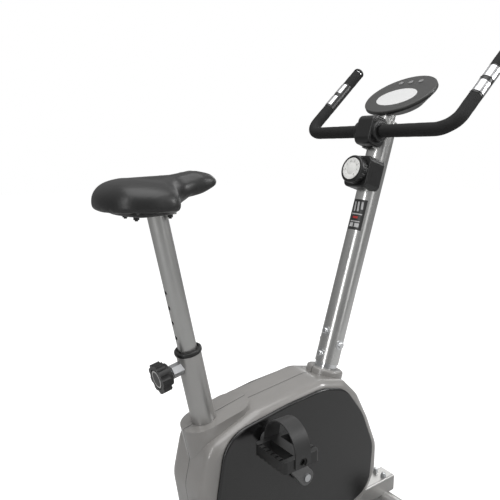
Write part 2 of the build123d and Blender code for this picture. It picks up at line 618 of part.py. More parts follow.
carriers = []
plates = []
for side in (-1, 1):
    plane = grip_plane(side)
    palm_side = Vector(-sin(rise), 0, cos(rise)) * PALM_SHARE + Vector(0, side, 0) * (1 - PALM_SHARE)
    palm = Plane(origin=plane.origin, x_dir=palm_side, z_dir=plane.z_dir)
    carriers.append(pipe(plane, FOAM_RADIUS, foam_inner, SENSOR_START, SENSOR_END))
    middle = (SENSOR_START + SENSOR_END) / 2
    for start in (middle - 6.5 - PLATE_LENGTH, middle + 6.5):
        ring = pipe(plane, FOAM_RADIUS + PLATE_THICKNESS, FOAM_RADIUS, start, start + PLATE_LENGTH)
        plates.append(ring & block(palm, 2, 40, -40, 40, 0, 400))
save("pulse_carriers", *carriers)
save("pulse_plates", *plates)

end_caps = []
for side in (-1, 1):
    plane = grip_plane(side)
    cap = rod(plane, FOAM_RADIUS, GRIP_LENGTH, GRIP_LENGTH + 7)
    cap = fillet(far_rim(cap, plane.origin), 5)
    cap += rod(plane, BAR_RADIUS - BAR_WALL, GRIP_LENGTH - 18, GRIP_LENGTH + 1)
    end_caps.append(cap)
save("bar_end_caps", *end_caps)

# Cradle welded to the post's rear and the clamp screwed to it, round the bar.
clamp_inner = BAR_RADIUS + FIT_RUNNING
clamp_outer = clamp_inner + CLAMP_THICKNESS
bar_local_x = -BAR_BEHIND_POST
ring = pipe(BAR, clamp_outer, clamp_inner, -CLAMP_HALF_WIDTH, CLAMP_HALF_WIDTH)
ear = 13.0
ears = block(NECK, bar_local_x - 4, bar_local_x + 4, -CLAMP_HALF_WIDTH, CLAMP_HALF_WIDTH,
             BAR_HEIGHT - clamp_outer - ear, BAR_HEIGHT + clamp_outer + ear)
clamp_body = ring + ears - rod(BAR, clamp_inner, -100, 100)
clamp_split = 0.4
screw_heights = (BAR_HEIGHT - clamp_outer - ear / 2, BAR_HEIGHT + clamp_outer + ear / 2)
clamp = clamp_body & block(NECK, bar_local_x - 60, bar_local_x - clamp_split, -50, 50, 850, 1050)
cradle = clamp_body & block(NECK, bar_local_x + clamp_split, bar_local_x + 60, -50, 50, 850, 1050)
for y0 in (-CLAMP_HALF_WIDTH + 2, CLAMP_HALF_WIDTH - 6):
    gusset = block(NECK, bar_local_x + 3, -POST_RADIUS + 14, y0, y0 + 4, BAR_HEIGHT - clamp_outer - ear - 8,
                   BAR_HEIGHT + clamp_outer + ear)
    cradle += gusset - rod(BAR, clamp_inner, -100, 100)
cradle -= rod(NECK, POST_RADIUS, 800, POST_TOP + 0.01)
screws = []
for height in screw_heights:
    screw_plane = Plane(origin=up(NECK, height, bar_local_x), x_dir=(0, 1, 0), z_dir=-NECK.x_dir)
    shank = rod(screw_plane, 2.5, -4, 5)
    clamp -= rod(screw_plane, 2.7, -20, 20)
    cradle -= rod(screw_plane, 2.5, -4.5, 20)
    screws.append(shank + rod(screw_plane, 4.5, 4, 8))
save("bar_bracket", cradle)
save("bar_clamp", clamp, *screws)

# Console bracket: a plug in the post's top with a round neck up to the console's dished back.
CONSOLE = Plane(origin=(CONSOLE_X, 0, CONSOLE_Z), x_dir=(cos(radians(CONSOLE_TILT)), 0, sin(radians(CONSOLE_TILT))),
                z_dir=(-sin(radians(CONSOLE_TILT)), 0, cos(radians(CONSOLE_TILT))))


def console_oval(half_width, half_depth, middle=0.0):
    """Oval in the console's face plane, its middle moved along the face."""
    return Pos(middle, 0) * Rot(0, 0, 90) * Ellipse(half_width, half_depth)


def console_slab(half_width, half_depth, z0, z1, middle=0.0):
    """Oval slab of the console between two depths below its face."""
    return CONSOLE * Pos(0, 0, z0) * extrude(console_oval(half_width, half_depth, middle), z1 - z0)


def console_dish(inset, z_rim, z_flat):
    """The dished back: from the rim's oval down to a smaller flat oval."""
    rim = CONSOLE * Pos(0, 0, z_rim) * console_oval(CONSOLE_HALF_WIDTH - inset, CONSOLE_HALF_DEPTH - inset)
    flat = CONSOLE * Pos(0, 0, z_flat) * console_oval(CONSOLE_BACK_HALF_WIDTH - inset, CONSOLE_BACK_HALF_DEPTH - inset)
    return loft([rim, flat], ruled=True)


console_rim = console_slab(CONSOLE_HALF_WIDTH, CONSOLE_HALF_DEPTH, -CONSOLE_RIM, 0)
console_body = console_rim + console_dish(0, -CONSOLE_RIM, -CONSOLE_THICKNESS)
bracket_neck_radius = 20.0
neck_reach = 100.0
plug = rod(NECK, POST_RADIUS - POST_WALL - 0.1, POST_TOP - 28, POST_TOP)
console_neck = rod(NECK, bracket_neck_radius, POST_TOP, POST_TOP + neck_reach)
console_neck -= block(CONSOLE, -200, 200, -200, 200, -CONSOLE_RIM - 1, 300)
save("console_bracket", plug + console_neck - console_body)

# Two-piece moulded cover round the clamp, closed on the middle plane.


def cover_form(inset):
    """The cover's outside drawn in by inset: a rounded body on the post with a round collar to each side."""
    body = block(NECK, COVER_BACK + inset, COVER_FRONT - inset, -COVER_BODY_HALF_WIDTH + inset,
                 COVER_BODY_HALF_WIDTH - inset, COVER_BOTTOM + inset, COVER_TOP - inset)
    body = fillet(body.edges().filter_by(Axis.Y), 16 - inset)
    body = fillet(body.faces().sort_by(Axis.Y)[0].edges() + body.faces().sort_by(Axis.Y)[-1].edges(), 6 - inset)
    collar = rod(BAR, COVER_COLLAR_RADIUS - inset, -COVER_HALF_WIDTH + inset, COVER_HALF_WIDTH - inset)
    collar = fillet(collar.edges().filter_by(GeomType.CIRCLE), 5 - inset)
    return body + collar


cover = cover_form(0)
cover_void = cover_form(COVER_WALL)
cover -= cover_void
cover -= rod(BAR, BAR_RADIUS + FIT_COVER, -100, 100)
cover -= rod(NECK, POST_RADIUS + FIT_COVER, 800, POST_TOP + 5)
cover -= block(NECK, bar_local_x + 2, -POST_RADIUS + 15, -CLAMP_HALF_WIDTH - FIT_COVER,
               CLAMP_HALF_WIDTH + FIT_COVER, 850, COVER_BOTTOM + 10)
save("clamp_cover_left", cover & half(1))
save("clamp_cover_right", cover & half(-1))

# ---------------------------------------------------------------- tension control
control = block(NECK, CONTROL_REAR, CONTROL_FRONT, -CONTROL_HALF_WIDTH, CONTROL_HALF_WIDTH,
                CONTROL_HEIGHT - CONTROL_HALF_HEIGHT, CONTROL_HEIGHT + CONTROL_HALF_HEIGHT)
neck_across = Axis(NECK.origin, NECK.x_dir)
control = fillet(control.edges().filter_by(neck_across), 14)
control = fillet(control.faces().sort_by(neck_across)[0].edges(), 4)
control -= rod(NECK, POST_RADIUS + 0.1, 700, 1000)
seam_gap = 0.2
control_rear = control & block(NECK, CONTROL_REAR - 5, CONTROL_SEAM - seam_gap, -90, 90, 700, 1000)
control_front = control & block(NECK, CONTROL_SEAM, CONTROL_FRONT + 5, -90, 90, 700, 1000)
control_void = block(NECK, CONTROL_REAR + 3, CONTROL_SEAM + 1, -CONTROL_HALF_WIDTH + 5, CONTROL_HALF_WIDTH - 5,
                     CONTROL_HEIGHT - CONTROL_HALF_HEIGHT + 5, CONTROL_HEIGHT + CONTROL_HALF_HEIGHT - 5)
control_rear -= control_void
control_rear -= rod(CONTROL, 5 + FIT_RUNNING, 40, 90)
control_front -= rod(CONTROL, 5.0, 10, 60)
save("tension_box_rear", control_rear)
save("tension_box_front", control_front)

knob_base = -CONTROL_REAR + 1.0
knob_shaft_end = 44.0
dial_face = -DIAL_FACE
tension_knob = rod(CONTROL, DIAL_KNOB_RADIUS, knob_base, dial_face)
tension_knob = fillet(near_rim(tension_knob, up(NECK, CONTROL_HEIGHT, -200)), 4.5)
for index in range(DIAL_RIDGES):
    angle = 360 * index / DIAL_RIDGES
    tension_knob -= CONTROL * Rot(0, 0, angle) * Pos(DIAL_KNOB_RADIUS + 1.2, 0, knob_base + 7) * Cylinder(2.2, 14.2)
tension_knob -= rod(CONTROL, DIAL_RADIUS, dial_face - 1.2, dial_face + 5)
tension_knob += rod(CONTROL, 5.0, knob_shaft_end, knob_base)
dial_plate = rod(CONTROL, DIAL_RADIUS - 0.1, dial_face - 1.2, dial_face - 0.2)
save("tension_knob", tension_knob, dial_plate)

# ---------------------------------------------------------------- console
split = -CONSOLE_RIM / 2
shell = fillet(console_body.edges().sort_by(Axis(CONSOLE.origin, CONSOLE.z_dir))[-1], CONSOLE_RIM * 0.35)
deck_depth = 4.0
shell -= console_slab(CONSOLE_HALF_WIDTH - CONSOLE_WALL - 4, CONSOLE_HALF_DEPTH - CONSOLE_WALL - 4, -CONSOLE_RIM, -deck_depth)
shell -= console_dish(CONSOLE_WALL + 4, -CONSOLE_RIM, -CONSOLE_THICKNESS + CONSOLE_WALL)
window_depth = 1.6
bezel = shell & block(CONSOLE, -200, 200, -200, 200, split, 50)
bezel -= console_slab(WINDOW_HALF_WIDTH, WINDOW_HALF_DEPTH, -window_depth, 5, WINDOW_OFFSET)
button_places = [(BUTTON_ROW, index * BUTTON_SPACING) for index in (-1, 0, 1)]
button_way = BUTTON_RADIUS + 0.3
for x, y in button_places:
    bezel -= CONSOLE * Pos(x, y, -10) * Cylinder(button_way, 60)
save("console_bezel", bezel)
save("console_back", shell & block(CONSOLE, -200, 200, -200, 200, -60, split - 0.2))

window_gap = 0.2
save("console_window", console_slab(WINDOW_HALF_WIDTH - window_gap, WINDOW_HALF_DEPTH - window_gap,
                                    -window_depth, 0, WINDOW_OFFSET))

flange_top = deck_depth + 0.3
flange_bottom = flange_top + 1.2
for name, (x, y) in zip(("button_right", "button_middle", "button_left"), button_places):
    place = CONSOLE * Pos(x, y, 0)
    button = rod(place, BUTTON_RADIUS, -flange_bottom, BUTTON_RISE)
    button += rod(place, BUTTON_RADIUS + 1.2, -flange_bottom, -flange_top)
    save(name, fillet(far_rim(button, place.position - CONSOLE.z_dir * 50), 0.8))

# ---------------------------------------------------------------- crank, pulley and pedals
axle_half = CRANK_Y + CRANK_THICKNESS + 3
save("crank_axle", rod(CRANK, AXLE_RADIUS, -axle_half, axle_half))

cup_outer = SHELL_RADIUS - SHELL_WALL - 0.05
bearing = rod(CRANK, cup_outer, SHELL_HALF_LENGTH - 14, SHELL_HALF_LENGTH)
bearing += rod(CRANK, SHELL_RADIUS + 1, SHELL_HALF_LENGTH, SHELL_HALF_LENGTH + 2.5)
bearing -= rod(CRANK, AXLE_RADIUS + FIT_RUNNING, 0, 60)
save("crank_bearings", bearing, mirrored(bearing))


def crank_arm(side, angle):
    """Tapered arm from the axle to the pedal's thread, with the pedal's spindle screwed into its end."""
    plane = Plane(origin=(CRANK_X, 0, CRANK_Z), x_dir=(cos(radians(angle)), 0, sin(radians(angle))), z_dir=(0, -1, 0))
    y0 = -side * CRANK_Y
    y1 = -side * (CRANK_Y + CRANK_THICKNESS)
    low, high = min(y0, y1), max(y0, y1)
    outline = make_hull([*Circle(19).edges(), *(Pos(CRANK_LENGTH, 0) * Circle(14)).edges()])
    arm = plane * Pos(0, 0, low) * extrude(outline, high - low)
    arm = fillet(arm.edges().filter_by(GeomType.LINE, reverse=False), 2)
    arm -= rod(plane, AXLE_RADIUS, -200, 200)
    tip = plane.from_local_coords(Vector(CRANK_LENGTH, 0, 0))
    pedal_axis = across(tip.X, tip.Z)
    arm -= rod(pedal_axis, SPINDLE_RADIUS, -300, 300)
    outer = PEDAL_INNER_Y + PEDAL_WIDTH - 6
    ends = sorted((side * CRANK_Y, side * outer))
    spindle = rod(pedal_axis, SPINDLE_RADIUS, *ends)
    flats = sorted((side * (CRANK_Y + CRANK_THICKNESS), side * (CRANK_Y + CRANK_THICKNESS + 5)))
    spindle += rod(pedal_axis, SPINDLE_RADIUS + 3.5, *flats)
    return arm, spindle, pedal_axis


right_arm, right_spindle, right_pedal_axis = crank_arm(-1, CRANK_ANGLE)
left_arm, left_spindle, left_pedal_axis = crank_arm(1, CRANK_ANGLE + 180)
save("crank_arms", right_arm, right_spindle, left_arm, left_spindle)

belt_low = PULLEY_Y - BELT_WIDTH / 2
belt_high = PULLEY_Y + BELT_WIDTH / 2
pulley = rod(CRANK, PULLEY_RADIUS - FIT_SOFT, belt_low - 1, belt_high + 1)
pulley -= pipe(CRANK, PULLEY_RADIUS - 12, 26, belt_low - 2, PULLEY_Y - 2)
pulley -= pipe(CRANK, PULLEY_RADIUS - 12, 26, PULLEY_Y + 2, belt_high + 2)
pulley += pipe(CRANK, PULLEY_RADIUS + 3, PULLEY_RADIUS - 2, belt_low - 3, belt_low - 1)
pulley += pipe(CRANK, PULLEY_RADIUS + 3, PULLEY_RADIUS - 2, belt_high + 1, belt_high + 3)
for index in range(6):
    pulley -= CRANK * Rot(0, 0, 60 * index) * Pos(60, 0, PULLEY_Y) * Cylinder(18, 30)
pulley -= rod(CRANK, AXLE_RADIUS, -200, 200)
save("drive_pulley", pulley)

pedal_half_length = PEDAL_LENGTH / 2


def pedal(side, axis):
    """Moulded platform with two windows beside the spindle's barrel and ribs on both treads."""
    y0, y1 = sorted((side * PEDAL_INNER_Y, side * (PEDAL_INNER_Y + PEDAL_WIDTH)))
    body = block(axis, -pedal_half_length, pedal_half_length, -PEDAL_HEIGHT / 2, PEDAL_HEIGHT / 2, y0, y1)
    body = fillet(body.edges().filter_by(Axis.Z), 8)
    middle = (y0 + y1) / 2
    for end in (-1, 1):
        x0, x1 = sorted((end * 12, end * (pedal_half_length - 9)))
        body -= block(axis, x0, x1, -30, 30, middle - PEDAL_WIDTH / 2 + 12, middle + PEDAL_WIDTH / 2 - 12)
        for rib in range(6):
            y = middle + (rib - 2.5) * 13.0
            for face in (-1, 1):
                z0, z1 = sorted((face * PEDAL_HEIGHT / 2, face * (PEDAL_HEIGHT / 2 - 2)))
                edge = sorted((end * (pedal_half_length - 8), end * (pedal_half_length + 1)))
                body -= block(axis, *edge, z0 - 0.01, z1 + 0.01, y - 2.5, y + 2.5)
    body -= rod(axis, SPINDLE_RADIUS + FIT_RUNNING, -400, 400)
    return body


def strap(side, axis):
    """Rubber strap over the foot, from the pedal's inner side to its outer side."""
    centre_y = side * (PEDAL_INNER_Y + PEDAL_WIDTH / 2)
    plane = Plane(origin=(axis.origin.X - STRAP_WIDTH / 2, centre_y, axis.origin.Z), x_dir=(0, 1, 0), z_dir=(1, 0, 0))
    half_span = PEDAL_WIDTH / 2 + STRAP_THICKNESS
    leg_foot = -PEDAL_HEIGHT / 2 + 4
    spring = PEDAL_HEIGHT / 2
    leg = spring - leg_foot
    legs = Pos(0, (spring + leg_foot) / 2) * Rectangle(2 * half_span, leg)
    outer = Pos(0, spring) * Ellipse(half_span, STRAP_RISE - spring) + legs
    gap = Pos(0, (spring + leg_foot) / 2) * Rectangle(PEDAL_WIDTH, leg)
    inner = Pos(0, spring) * Ellipse(PEDAL_WIDTH / 2, STRAP_RISE - spring - STRAP_THICKNESS) + gap
    window = Pos(0, (STRAP_RISE + leg_foot) / 2) * Rectangle(4 * half_span, STRAP_RISE - leg_foot)
    band = plane * extrude((outer - inner) & window, STRAP_WIDTH)
    return band - rod(axis, SPINDLE_RADIUS + 4.0, -400, 400)


for name, side, axis in (("left", 1, left_pedal_axis), ("right", -1, right_pedal_axis)):
    save(f"pedal_{name}", pedal(side, axis))
    save(f"strap_{name}", strap(side, axis))

# ---------------------------------------------------------------- flywheel, belt and magnetic brake
fly_low = FLYWHEEL_Y - FLYWHEEL_WIDTH / 2
fly_high = FLYWHEEL_Y + FLYWHEEL_WIDTH / 2
flywheel = rod(FLY, FLYWHEEL_RADIUS, fly_low, fly_high)
flywheel = chamfer(flywheel.edges().filter_by(GeomType.CIRCLE), 1.5)
flywheel -= pipe(FLY, FLYWHEEL_RADIUS - 20, 24, fly_low - 1, fly_low + 10)
flywheel -= pipe(FLY, FLYWHEEL_RADIUS - 20, 24, fly_high - 10, fly_high + 1)
flywheel += rod(FLY, SMALL_PULLEY_RADIUS - FIT_SOFT, belt_low - 1, fly_low + 1)
flywheel += rod(FLY, SMALL_PULLEY_RADIUS + 3, belt_low - 3, belt_low - 1)
flywheel -= rod(FLY, FLYWHEEL_AXLE_RADIUS + FIT_RUNNING, -100, 100)
save("flywheel", flywheel)

nut_thickness = 4.0
fly_axle = rod(FLY, FLYWHEEL_AXLE_RADIUS, FORK_RIGHT_Y - nut_thickness, FORK_LEFT_Y + nut_thickness + 2)
for y0, y1 in ((FORK_RIGHT_Y - nut_thickness, FORK_RIGHT_Y), (FORK_LEFT_Y, FORK_LEFT_Y + nut_thickness),
               (FORK_RIGHT_Y + FORK_PLATE, belt_low - 3.3), (fly_high + 0.3, FORK_LEFT_Y - FORK_PLATE)):
    fly_axle += rod(FLY, FLYWHEEL_AXLE_RADIUS + 4, y0, y1)
save("flywheel_axle", fly_axle)


def belt_loop(radius_crank, radius_fly):
    """Open-belt outline round both pulleys, in X and Z."""
    round_crank = Pos(CRANK_X, CRANK_Z) * Circle(radius_crank)
    round_fly = Pos(FLYWHEEL_X, FLYWHEEL_Z) * Circle(radius_fly)
    return make_hull([*round_crank.edges(), *round_fly.edges()])


belt_plane = Plane(origin=(0, belt_high, 0), x_dir=(1, 0, 0), z_dir=(0, -1, 0))
belt_profile = belt_loop(PULLEY_RADIUS + BELT_THICKNESS, SMALL_PULLEY_RADIUS + BELT_THICKNESS)
belt_profile -= belt_loop(PULLEY_RADIUS, SMALL_PULLEY_RADIUS)
save("drive_belt", belt_plane * extrude(belt_profile, BELT_WIDTH))

# Magnet bracket: a curved plate over the rim with four magnets inside it, hung on a pin at its rear end.
magnet_inner = FLYWHEEL_RADIUS + MAGNET_GAP
magnet_outer = magnet_inner + MAGNET_THICKNESS
bracket_outer = magnet_outer + BRACKET_THICKNESS


def ring_sector(inner, outer, start, end, y0, y1):
    """Part of a ring round the flywheel's axle between two angles from +X."""
    ring_part = pipe(FLY, outer, inner, y0, y1)
    reach = outer * 2
    steps = [start + (end - start) * i / 6 for i in range(7)]
    fan = [(FLYWHEEL_X, FLYWHEEL_Z)]
    fan += [(FLYWHEEL_X + reach * cos(radians(a)), FLYWHEEL_Z + reach * sin(radians(a))) for a in steps]
    return ring_part & side_plate(fan, y0 - 1, y1 + 1)


bracket = ring_sector(magnet_outer, bracket_outer, BRACKET_START, BRACKET_END, fly_low, fly_high)
pivot_angle = radians(BRACKET_END + 3)
pivot_radius = magnet_outer + 3
pivot_x = FLYWHEEL_X + pivot_radius * cos(pivot_angle)
pivot_z = FLYWHEEL_Z + pivot_radius * sin(pivot_angle)
PIVOT = across(pivot_x, pivot_z)
bracket += rod(PIVOT, 7.0, fly_low, fly_high)
bracket -= rod(PIVOT, 3.0 + FIT_RUNNING, -60, 60)
magnets = []
for index in range(4):
    start = BRACKET_START + 3 + index * 18.0
    magnets.append(ring_sector(magnet_inner, magnet_outer, start, start + 12, fly_low + 4, fly_high - 4))
save("magnet_bracket", bracket, *magnets)

hanger_outline = [(pivot_x - 60, pivot_z + 6), (pivot_x - 60, pivot_z - 14), (pivot_x + 5, pivot_z - 6),
                  (pivot_x + 7, pivot_z + 5)]
hangers = []
for y0, y1 in ((fly_low - 3.3, fly_low - 0.3), (fly_high + 0.3, fly_high + 3.3)):
    hanger = side_plate(hanger_outline, y0, y1) - rod(NECK, NECK_RADIUS, 0, 400)
    hanger -= block(NECK, -100, 0, -60, 60, 0, 400)
    hangers.append(hanger)
pivot_pin = rod(PIVOT, 3.0, fly_low - 5, fly_high + 5)
hanger_set = [hanger - rod(PIVOT, 3.0, -60, 60) for hanger in hangers]
save("brake_hanger", *hanger_set, pivot_pin)

# Tension cable: from the control down inside the post and the neck and out to the brake.
cable_radius = 2.2
anchor = (FLYWHEEL_X + (bracket_outer + 3.5) * cos(radians(96)), 0, FLYWHEEL_Z + (bracket_outer + 3.5) * sin(radians(96)))
cable_points = [up(NECK, CONTROL_HEIGHT, -knob_shaft_end + 0.5), up(NECK, CONTROL_HEIGHT, 4), up(NECK, CABLE_EXIT, 4),
                up(NECK, CABLE_EXIT, 40), Vector(anchor[0], 0, anchor[2])]
cable = FilletPolyline(*cable_points, radius=16)
save("tension_cable", swept(cable, cable_radius, 0))

# ---------------------------------------------------------------- housing
HOUSING_OUTLINE = [(-258, 418), (-137, 464), (45, 484), (118, 466), (165, 420), (204, 350), (240, 268), (240, 190),
                   (196, 118), (-186, 118), (-258, 178), (-280, 320)]
HOUSING_RADII = [46, 60, 60, 40, 60, 120, 60, 60, 50, 50, 60, 80]


def housing_body(inset, half_width, edge):
    """Solid block of the housing's outline, drawn in by an inset, with rounded outer edges."""
    outline = rounded_face([(x + SHIFT_X, z) for x, z in HOUSING_OUTLINE], HOUSING_RADII)
    if inset:
        outline = offset(outline, amount=-inset)
    plane = Plane(origin=(0, half_width, 0), x_dir=(1, 0, 0), z_dir=(0, -1, 0))
    body = extrude(plane * outline, amount=2 * half_width)
    ends = body.faces().sort_by(Axis.Y)
    return fillet(ends[0].edges() + ends[-1].edges(), edge)


def turrets(inset, top_inset):
    """Raised collars of the housing where the neck and the seat tube come out."""
    front = rod(NECK, TURRET_RADIUS - inset, 280, NECK_TURRET_TOP - top_inset)
    rear_plate = SlotCenterToCenter(SEAT_TURRET_LENGTH, 2 * (TURRET_RADIUS - inset))
    rear = SEAT * Pos(SEAT_TURRET_LENGTH / 2 - 6, 0, 250) * extrude(rear_plate, SEAT_TURRET_TOP - top_inset - 250)
    return front, rear


outer_front, outer_rear = turrets(0, 0)
outer_front = fillet(far_rim(outer_front, NECK.origin), 6)
housing = housing_body(0, HOUSING_HALF_WIDTH, HOUSING_EDGE) + outer_front + outer_rear
inner_front, inner_rear = turrets(HOUSING_WALL, HOUSING_WALL)
housing_void = housing_body(HOUSING_WALL, HOUSING_HALF_WIDTH - HOUSING_WALL, HOUSING_EDGE - HOUSING_WALL)
housing -= housing_void + inner_front + inner_rear
housing -= rod(SEAT, SEAT_TUBE_RADIUS + FIT_COVER, 0, 460)
housing -= rod(NECK, NECK_RADIUS + FIT_COVER, 0, 460)
housing -= rod(CRANK, AXLE_RADIUS + 8, -100, 100)
housing -= block(GROUND, -190 + SHIFT_X, 190 + SHIFT_X, -62, 46, 90, 130)
save("housing_left", housing & half(1))
save("housing_right", housing & half(-1))

COVER_OUTLINE = [(-225, 437), (-60, 463), (40, 471), (110, 452), (170, 375), (212, 280), (205, 165), (130, 138),
                 (-160, 138), (-232, 180), (-248, 300)]
COVER_RADII = [70, 120, 110, 90, 140, 80, 60, 60, 70, 60, 110]
cover_face = rounded_face([(x + SHIFT_X, z) for x, z in COVER_OUTLINE], COVER_RADII)


def side_disc(face, y0, y1, edge):
    """Disc of the cover's outline on the left side, rounded along its outer edge."""
    plane = Plane(origin=(0, y1, 0), x_dir=(1, 0, 0), z_dir=(0, -1, 0))
    body = extrude(plane * face, amount=y1 - y0)
    return fillet(body.faces().sort_by(Axis.Y)[-1].edges(), edge)


disc_inner_y = HOUSING_HALF_WIDTH
disc_outer_y = HOUSING_HALF_WIDTH + SIDE_COVER_THICKNESS
side_cover = side_disc(cover_face, disc_inner_y, disc_outer_y, SIDE_COVER_EDGE)
side_cover -= side_disc(offset(cover_face, amount=-SIDE_COVER_WALL), disc_inner_y - 1, disc_outer_y - SIDE_COVER_WALL,
                        SIDE_COVER_EDGE - SIDE_COVER_WALL)
side_cover -= rod(CRANK, AXLE_RADIUS + 8, -100, 100)
save("side_covers", side_cover, mirrored(side_cover))
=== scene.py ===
import json
from math import cos, pi, radians, sin

import bpy
import numpy as np
from mathutils import Matrix, Vector


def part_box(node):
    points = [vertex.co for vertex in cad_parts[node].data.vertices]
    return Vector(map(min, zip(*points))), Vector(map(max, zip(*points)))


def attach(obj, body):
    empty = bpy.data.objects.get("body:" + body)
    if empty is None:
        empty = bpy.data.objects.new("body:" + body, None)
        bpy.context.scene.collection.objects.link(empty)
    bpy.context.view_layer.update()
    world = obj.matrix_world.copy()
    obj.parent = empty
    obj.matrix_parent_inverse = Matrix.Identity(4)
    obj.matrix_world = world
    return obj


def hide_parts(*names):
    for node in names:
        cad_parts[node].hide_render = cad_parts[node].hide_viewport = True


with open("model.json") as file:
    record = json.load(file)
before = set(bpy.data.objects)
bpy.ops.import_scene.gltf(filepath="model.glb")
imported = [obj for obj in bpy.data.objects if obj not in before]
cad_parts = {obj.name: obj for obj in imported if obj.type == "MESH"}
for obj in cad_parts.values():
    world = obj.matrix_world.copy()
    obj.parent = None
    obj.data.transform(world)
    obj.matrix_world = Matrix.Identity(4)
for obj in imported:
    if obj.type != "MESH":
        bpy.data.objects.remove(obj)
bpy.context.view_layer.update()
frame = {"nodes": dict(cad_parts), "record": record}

# ---------------------------------------------------------------- studio
# A white cove seen at handlebar height from the bike's right rear quarter, with one large softbox overhead,
# narrow upright ones that draw bright stripes down the round tubes, and one low one for the housing's rim.
VIEW_AZIMUTH = radians(35.86)
VIEW_PITCH = radians(10.45)
VIEW_PLACE = (-0.7665, -0.9050, 1.000)
LENS = 39.15

scene = bpy.context.scene
looking = Vector((sin(VIEW_AZIMUTH) * cos(VIEW_PITCH), cos(VIEW_AZIMUTH) * cos(VIEW_PITCH), -sin(VIEW_PITCH)))
to_right = Vector((cos(VIEW_AZIMUTH), -sin(VIEW_AZIMUTH), 0))
camera_data = bpy.data.cameras.new("camera")
camera_data.lens = LENS
camera_data.sensor_width = 36.0
camera = bpy.data.objects.new("camera", camera_data)
scene.collection.objects.link(camera)
camera.matrix_world = Matrix.Translation(VIEW_PLACE) @ Matrix(
    (to_right, to_right.cross(looking), -looking)).transposed().to_4x4()
scene.camera = camera
scene.view_settings.view_transform = "Standard"


class Tone:
    """One socket of a material; arithmetic on it adds Math nodes, and make() adds any other node."""

    def __init__(self, tree, socket=None):
        self.tree = tree
        self.socket = socket

    def make(self, kind, settings=None, sockets=None, out=0):
        node = self.tree.nodes.new(kind)
        for name, value in (settings or {}).items():
            if name == "stops":
                ramp = node.color_ramp.elements
                while len(ramp) < len(value):
                    ramp.new(0.5)
                for element, (place, colour) in zip(ramp, value):
                    element.position = place
                    element.color = (*colour, 1.0)
            else:
                setattr(node, name, value)
        for name, value in (sockets or {}).items():
            self.put(node.inputs[name], value)
        return Tone(self.tree, node.outputs[out])

    def put(self, socket, value):
        if isinstance(value, Tone):
            self.tree.links.new(value.socket, socket)
        elif isinstance(value, tuple) and len(value) == 3 and socket.type == "RGBA":
            socket.default_value = (*value, 1.0)
        else:
            socket.default_value = value

    def maths(self, operation, first, second=0.0):
        return self.make("ShaderNodeMath", {"operation": operation}, {0: first, 1: second})

    def __add__(self, other):
        return self.maths("ADD", self, other)

    def __sub__(self, other):
        return self.maths("SUBTRACT", self, other)

    def __rsub__(self, other):
        return self.maths("SUBTRACT", other, self)

    def __mul__(self, other):
        return self.maths("MULTIPLY", self, other)

    def above(self, level):
        return self.maths("GREATER_THAN", self, level)

    def blend(self, low, high):
        """Colour low where this value is 0 and high where it is 1."""
        return self.make("ShaderNodeMix", {"data_type": "RGBA"}, {0: self, 6: low, 7: high}, 2)

    def ramp(self, *stops):
        return self.make("ShaderNodeValToRGB", {"stops": stops}, {0: self})


def grey(level):
    return (level, level, level)


floor_half = 12.0
floor_mesh = bpy.data.meshes.new("studio_floor")
floor_corners = [(x * floor_half, y * floor_half, 0) for x, y in ((-1, -1), (1, -1), (1, 1), (-1, 1))]
floor_mesh.from_pydata(floor_corners, [], [(0, 1, 2, 3)])
studio_floor = bpy.data.objects.new("studio_floor", floor_mesh)
scene.collection.objects.link(studio_floor)
floor_paint = bpy.data.materials.new("floor_paint")
floor_paint.use_nodes = True
floor_tone = Tone(floor_paint.node_tree)
floor_cloud = floor_tone.make("ShaderNodeTexNoise", {}, {
    "Vector": floor_tone.make("ShaderNodeTexCoord", out=3), "Scale": 3.0, "Detail": 2.0})
floor_shade = floor_cloud.blend(grey(0.48), grey(0.52))
floor_paper = floor_tone.make("ShaderNodeBsdfDiffuse", {}, {"Color": floor_shade})
floor_glow = floor_tone.make("ShaderNodeEmission", {}, {"Color": grey(1.0), "Strength": 0.80})
floor_seen = floor_tone.make("ShaderNodeAddShader", {}, {0: floor_paper, 1: floor_glow})
floor_mix = floor_tone.make("ShaderNodeMixShader", {}, {
    0: floor_tone.make("ShaderNodeLightPath", out=0), 1: floor_paper, 2: floor_seen})
floor_tone.put(floor_paint.node_tree.nodes["Material Output"].inputs["Surface"], floor_mix)
floor_mesh.materials.append(floor_paint)

world = bpy.data.worlds.new("white_cove")
scene.world = world
world.use_nodes = True
sky = Tone(world.node_tree)
world_out = world.node_tree.nodes["World Output"]
seen = sky.make("ShaderNodeLightPath", out=0)
plain_white = sky.make("ShaderNodeBackground", {}, {"Color": grey(1.0), "Strength": 1.0})
sky_up = sky.make("ShaderNodeSeparateXYZ", {}, {0: sky.make("ShaderNodeTexCoord", out=0)}, 2)
cove = sky.make("ShaderNodeBackground", {}, {"Color": (sky_up * 0.5 + 0.5).ramp(
    (0.0, grey(0.26)), (0.45, grey(0.26)), (0.56, grey(0.30)), (1.0, grey(0.80))), "Strength": 0.8})
sky.put(world_out.inputs["Surface"], sky.make("ShaderNodeMixShader", {}, {0: seen, 1: cove, 2: plain_white}))


def softbox(name, place, aim, width, height, power):
    """A rectangular area light at place, turned to face aim."""
    data = bpy.data.lights.new(name, "AREA")
    data.shape = "RECTANGLE"
    data.size = width
    data.size_y = height
    data.energy = power
    lamp = bpy.data.objects.new(name, data)
    scene.collection.objects.link(lamp)
    turn = (Vector(aim) - Vector(place)).to_track_quat("-Z", "Y")
    lamp.matrix_world = Matrix.Translation(place) @ turn.to_matrix().to_4x4()
    return lamp


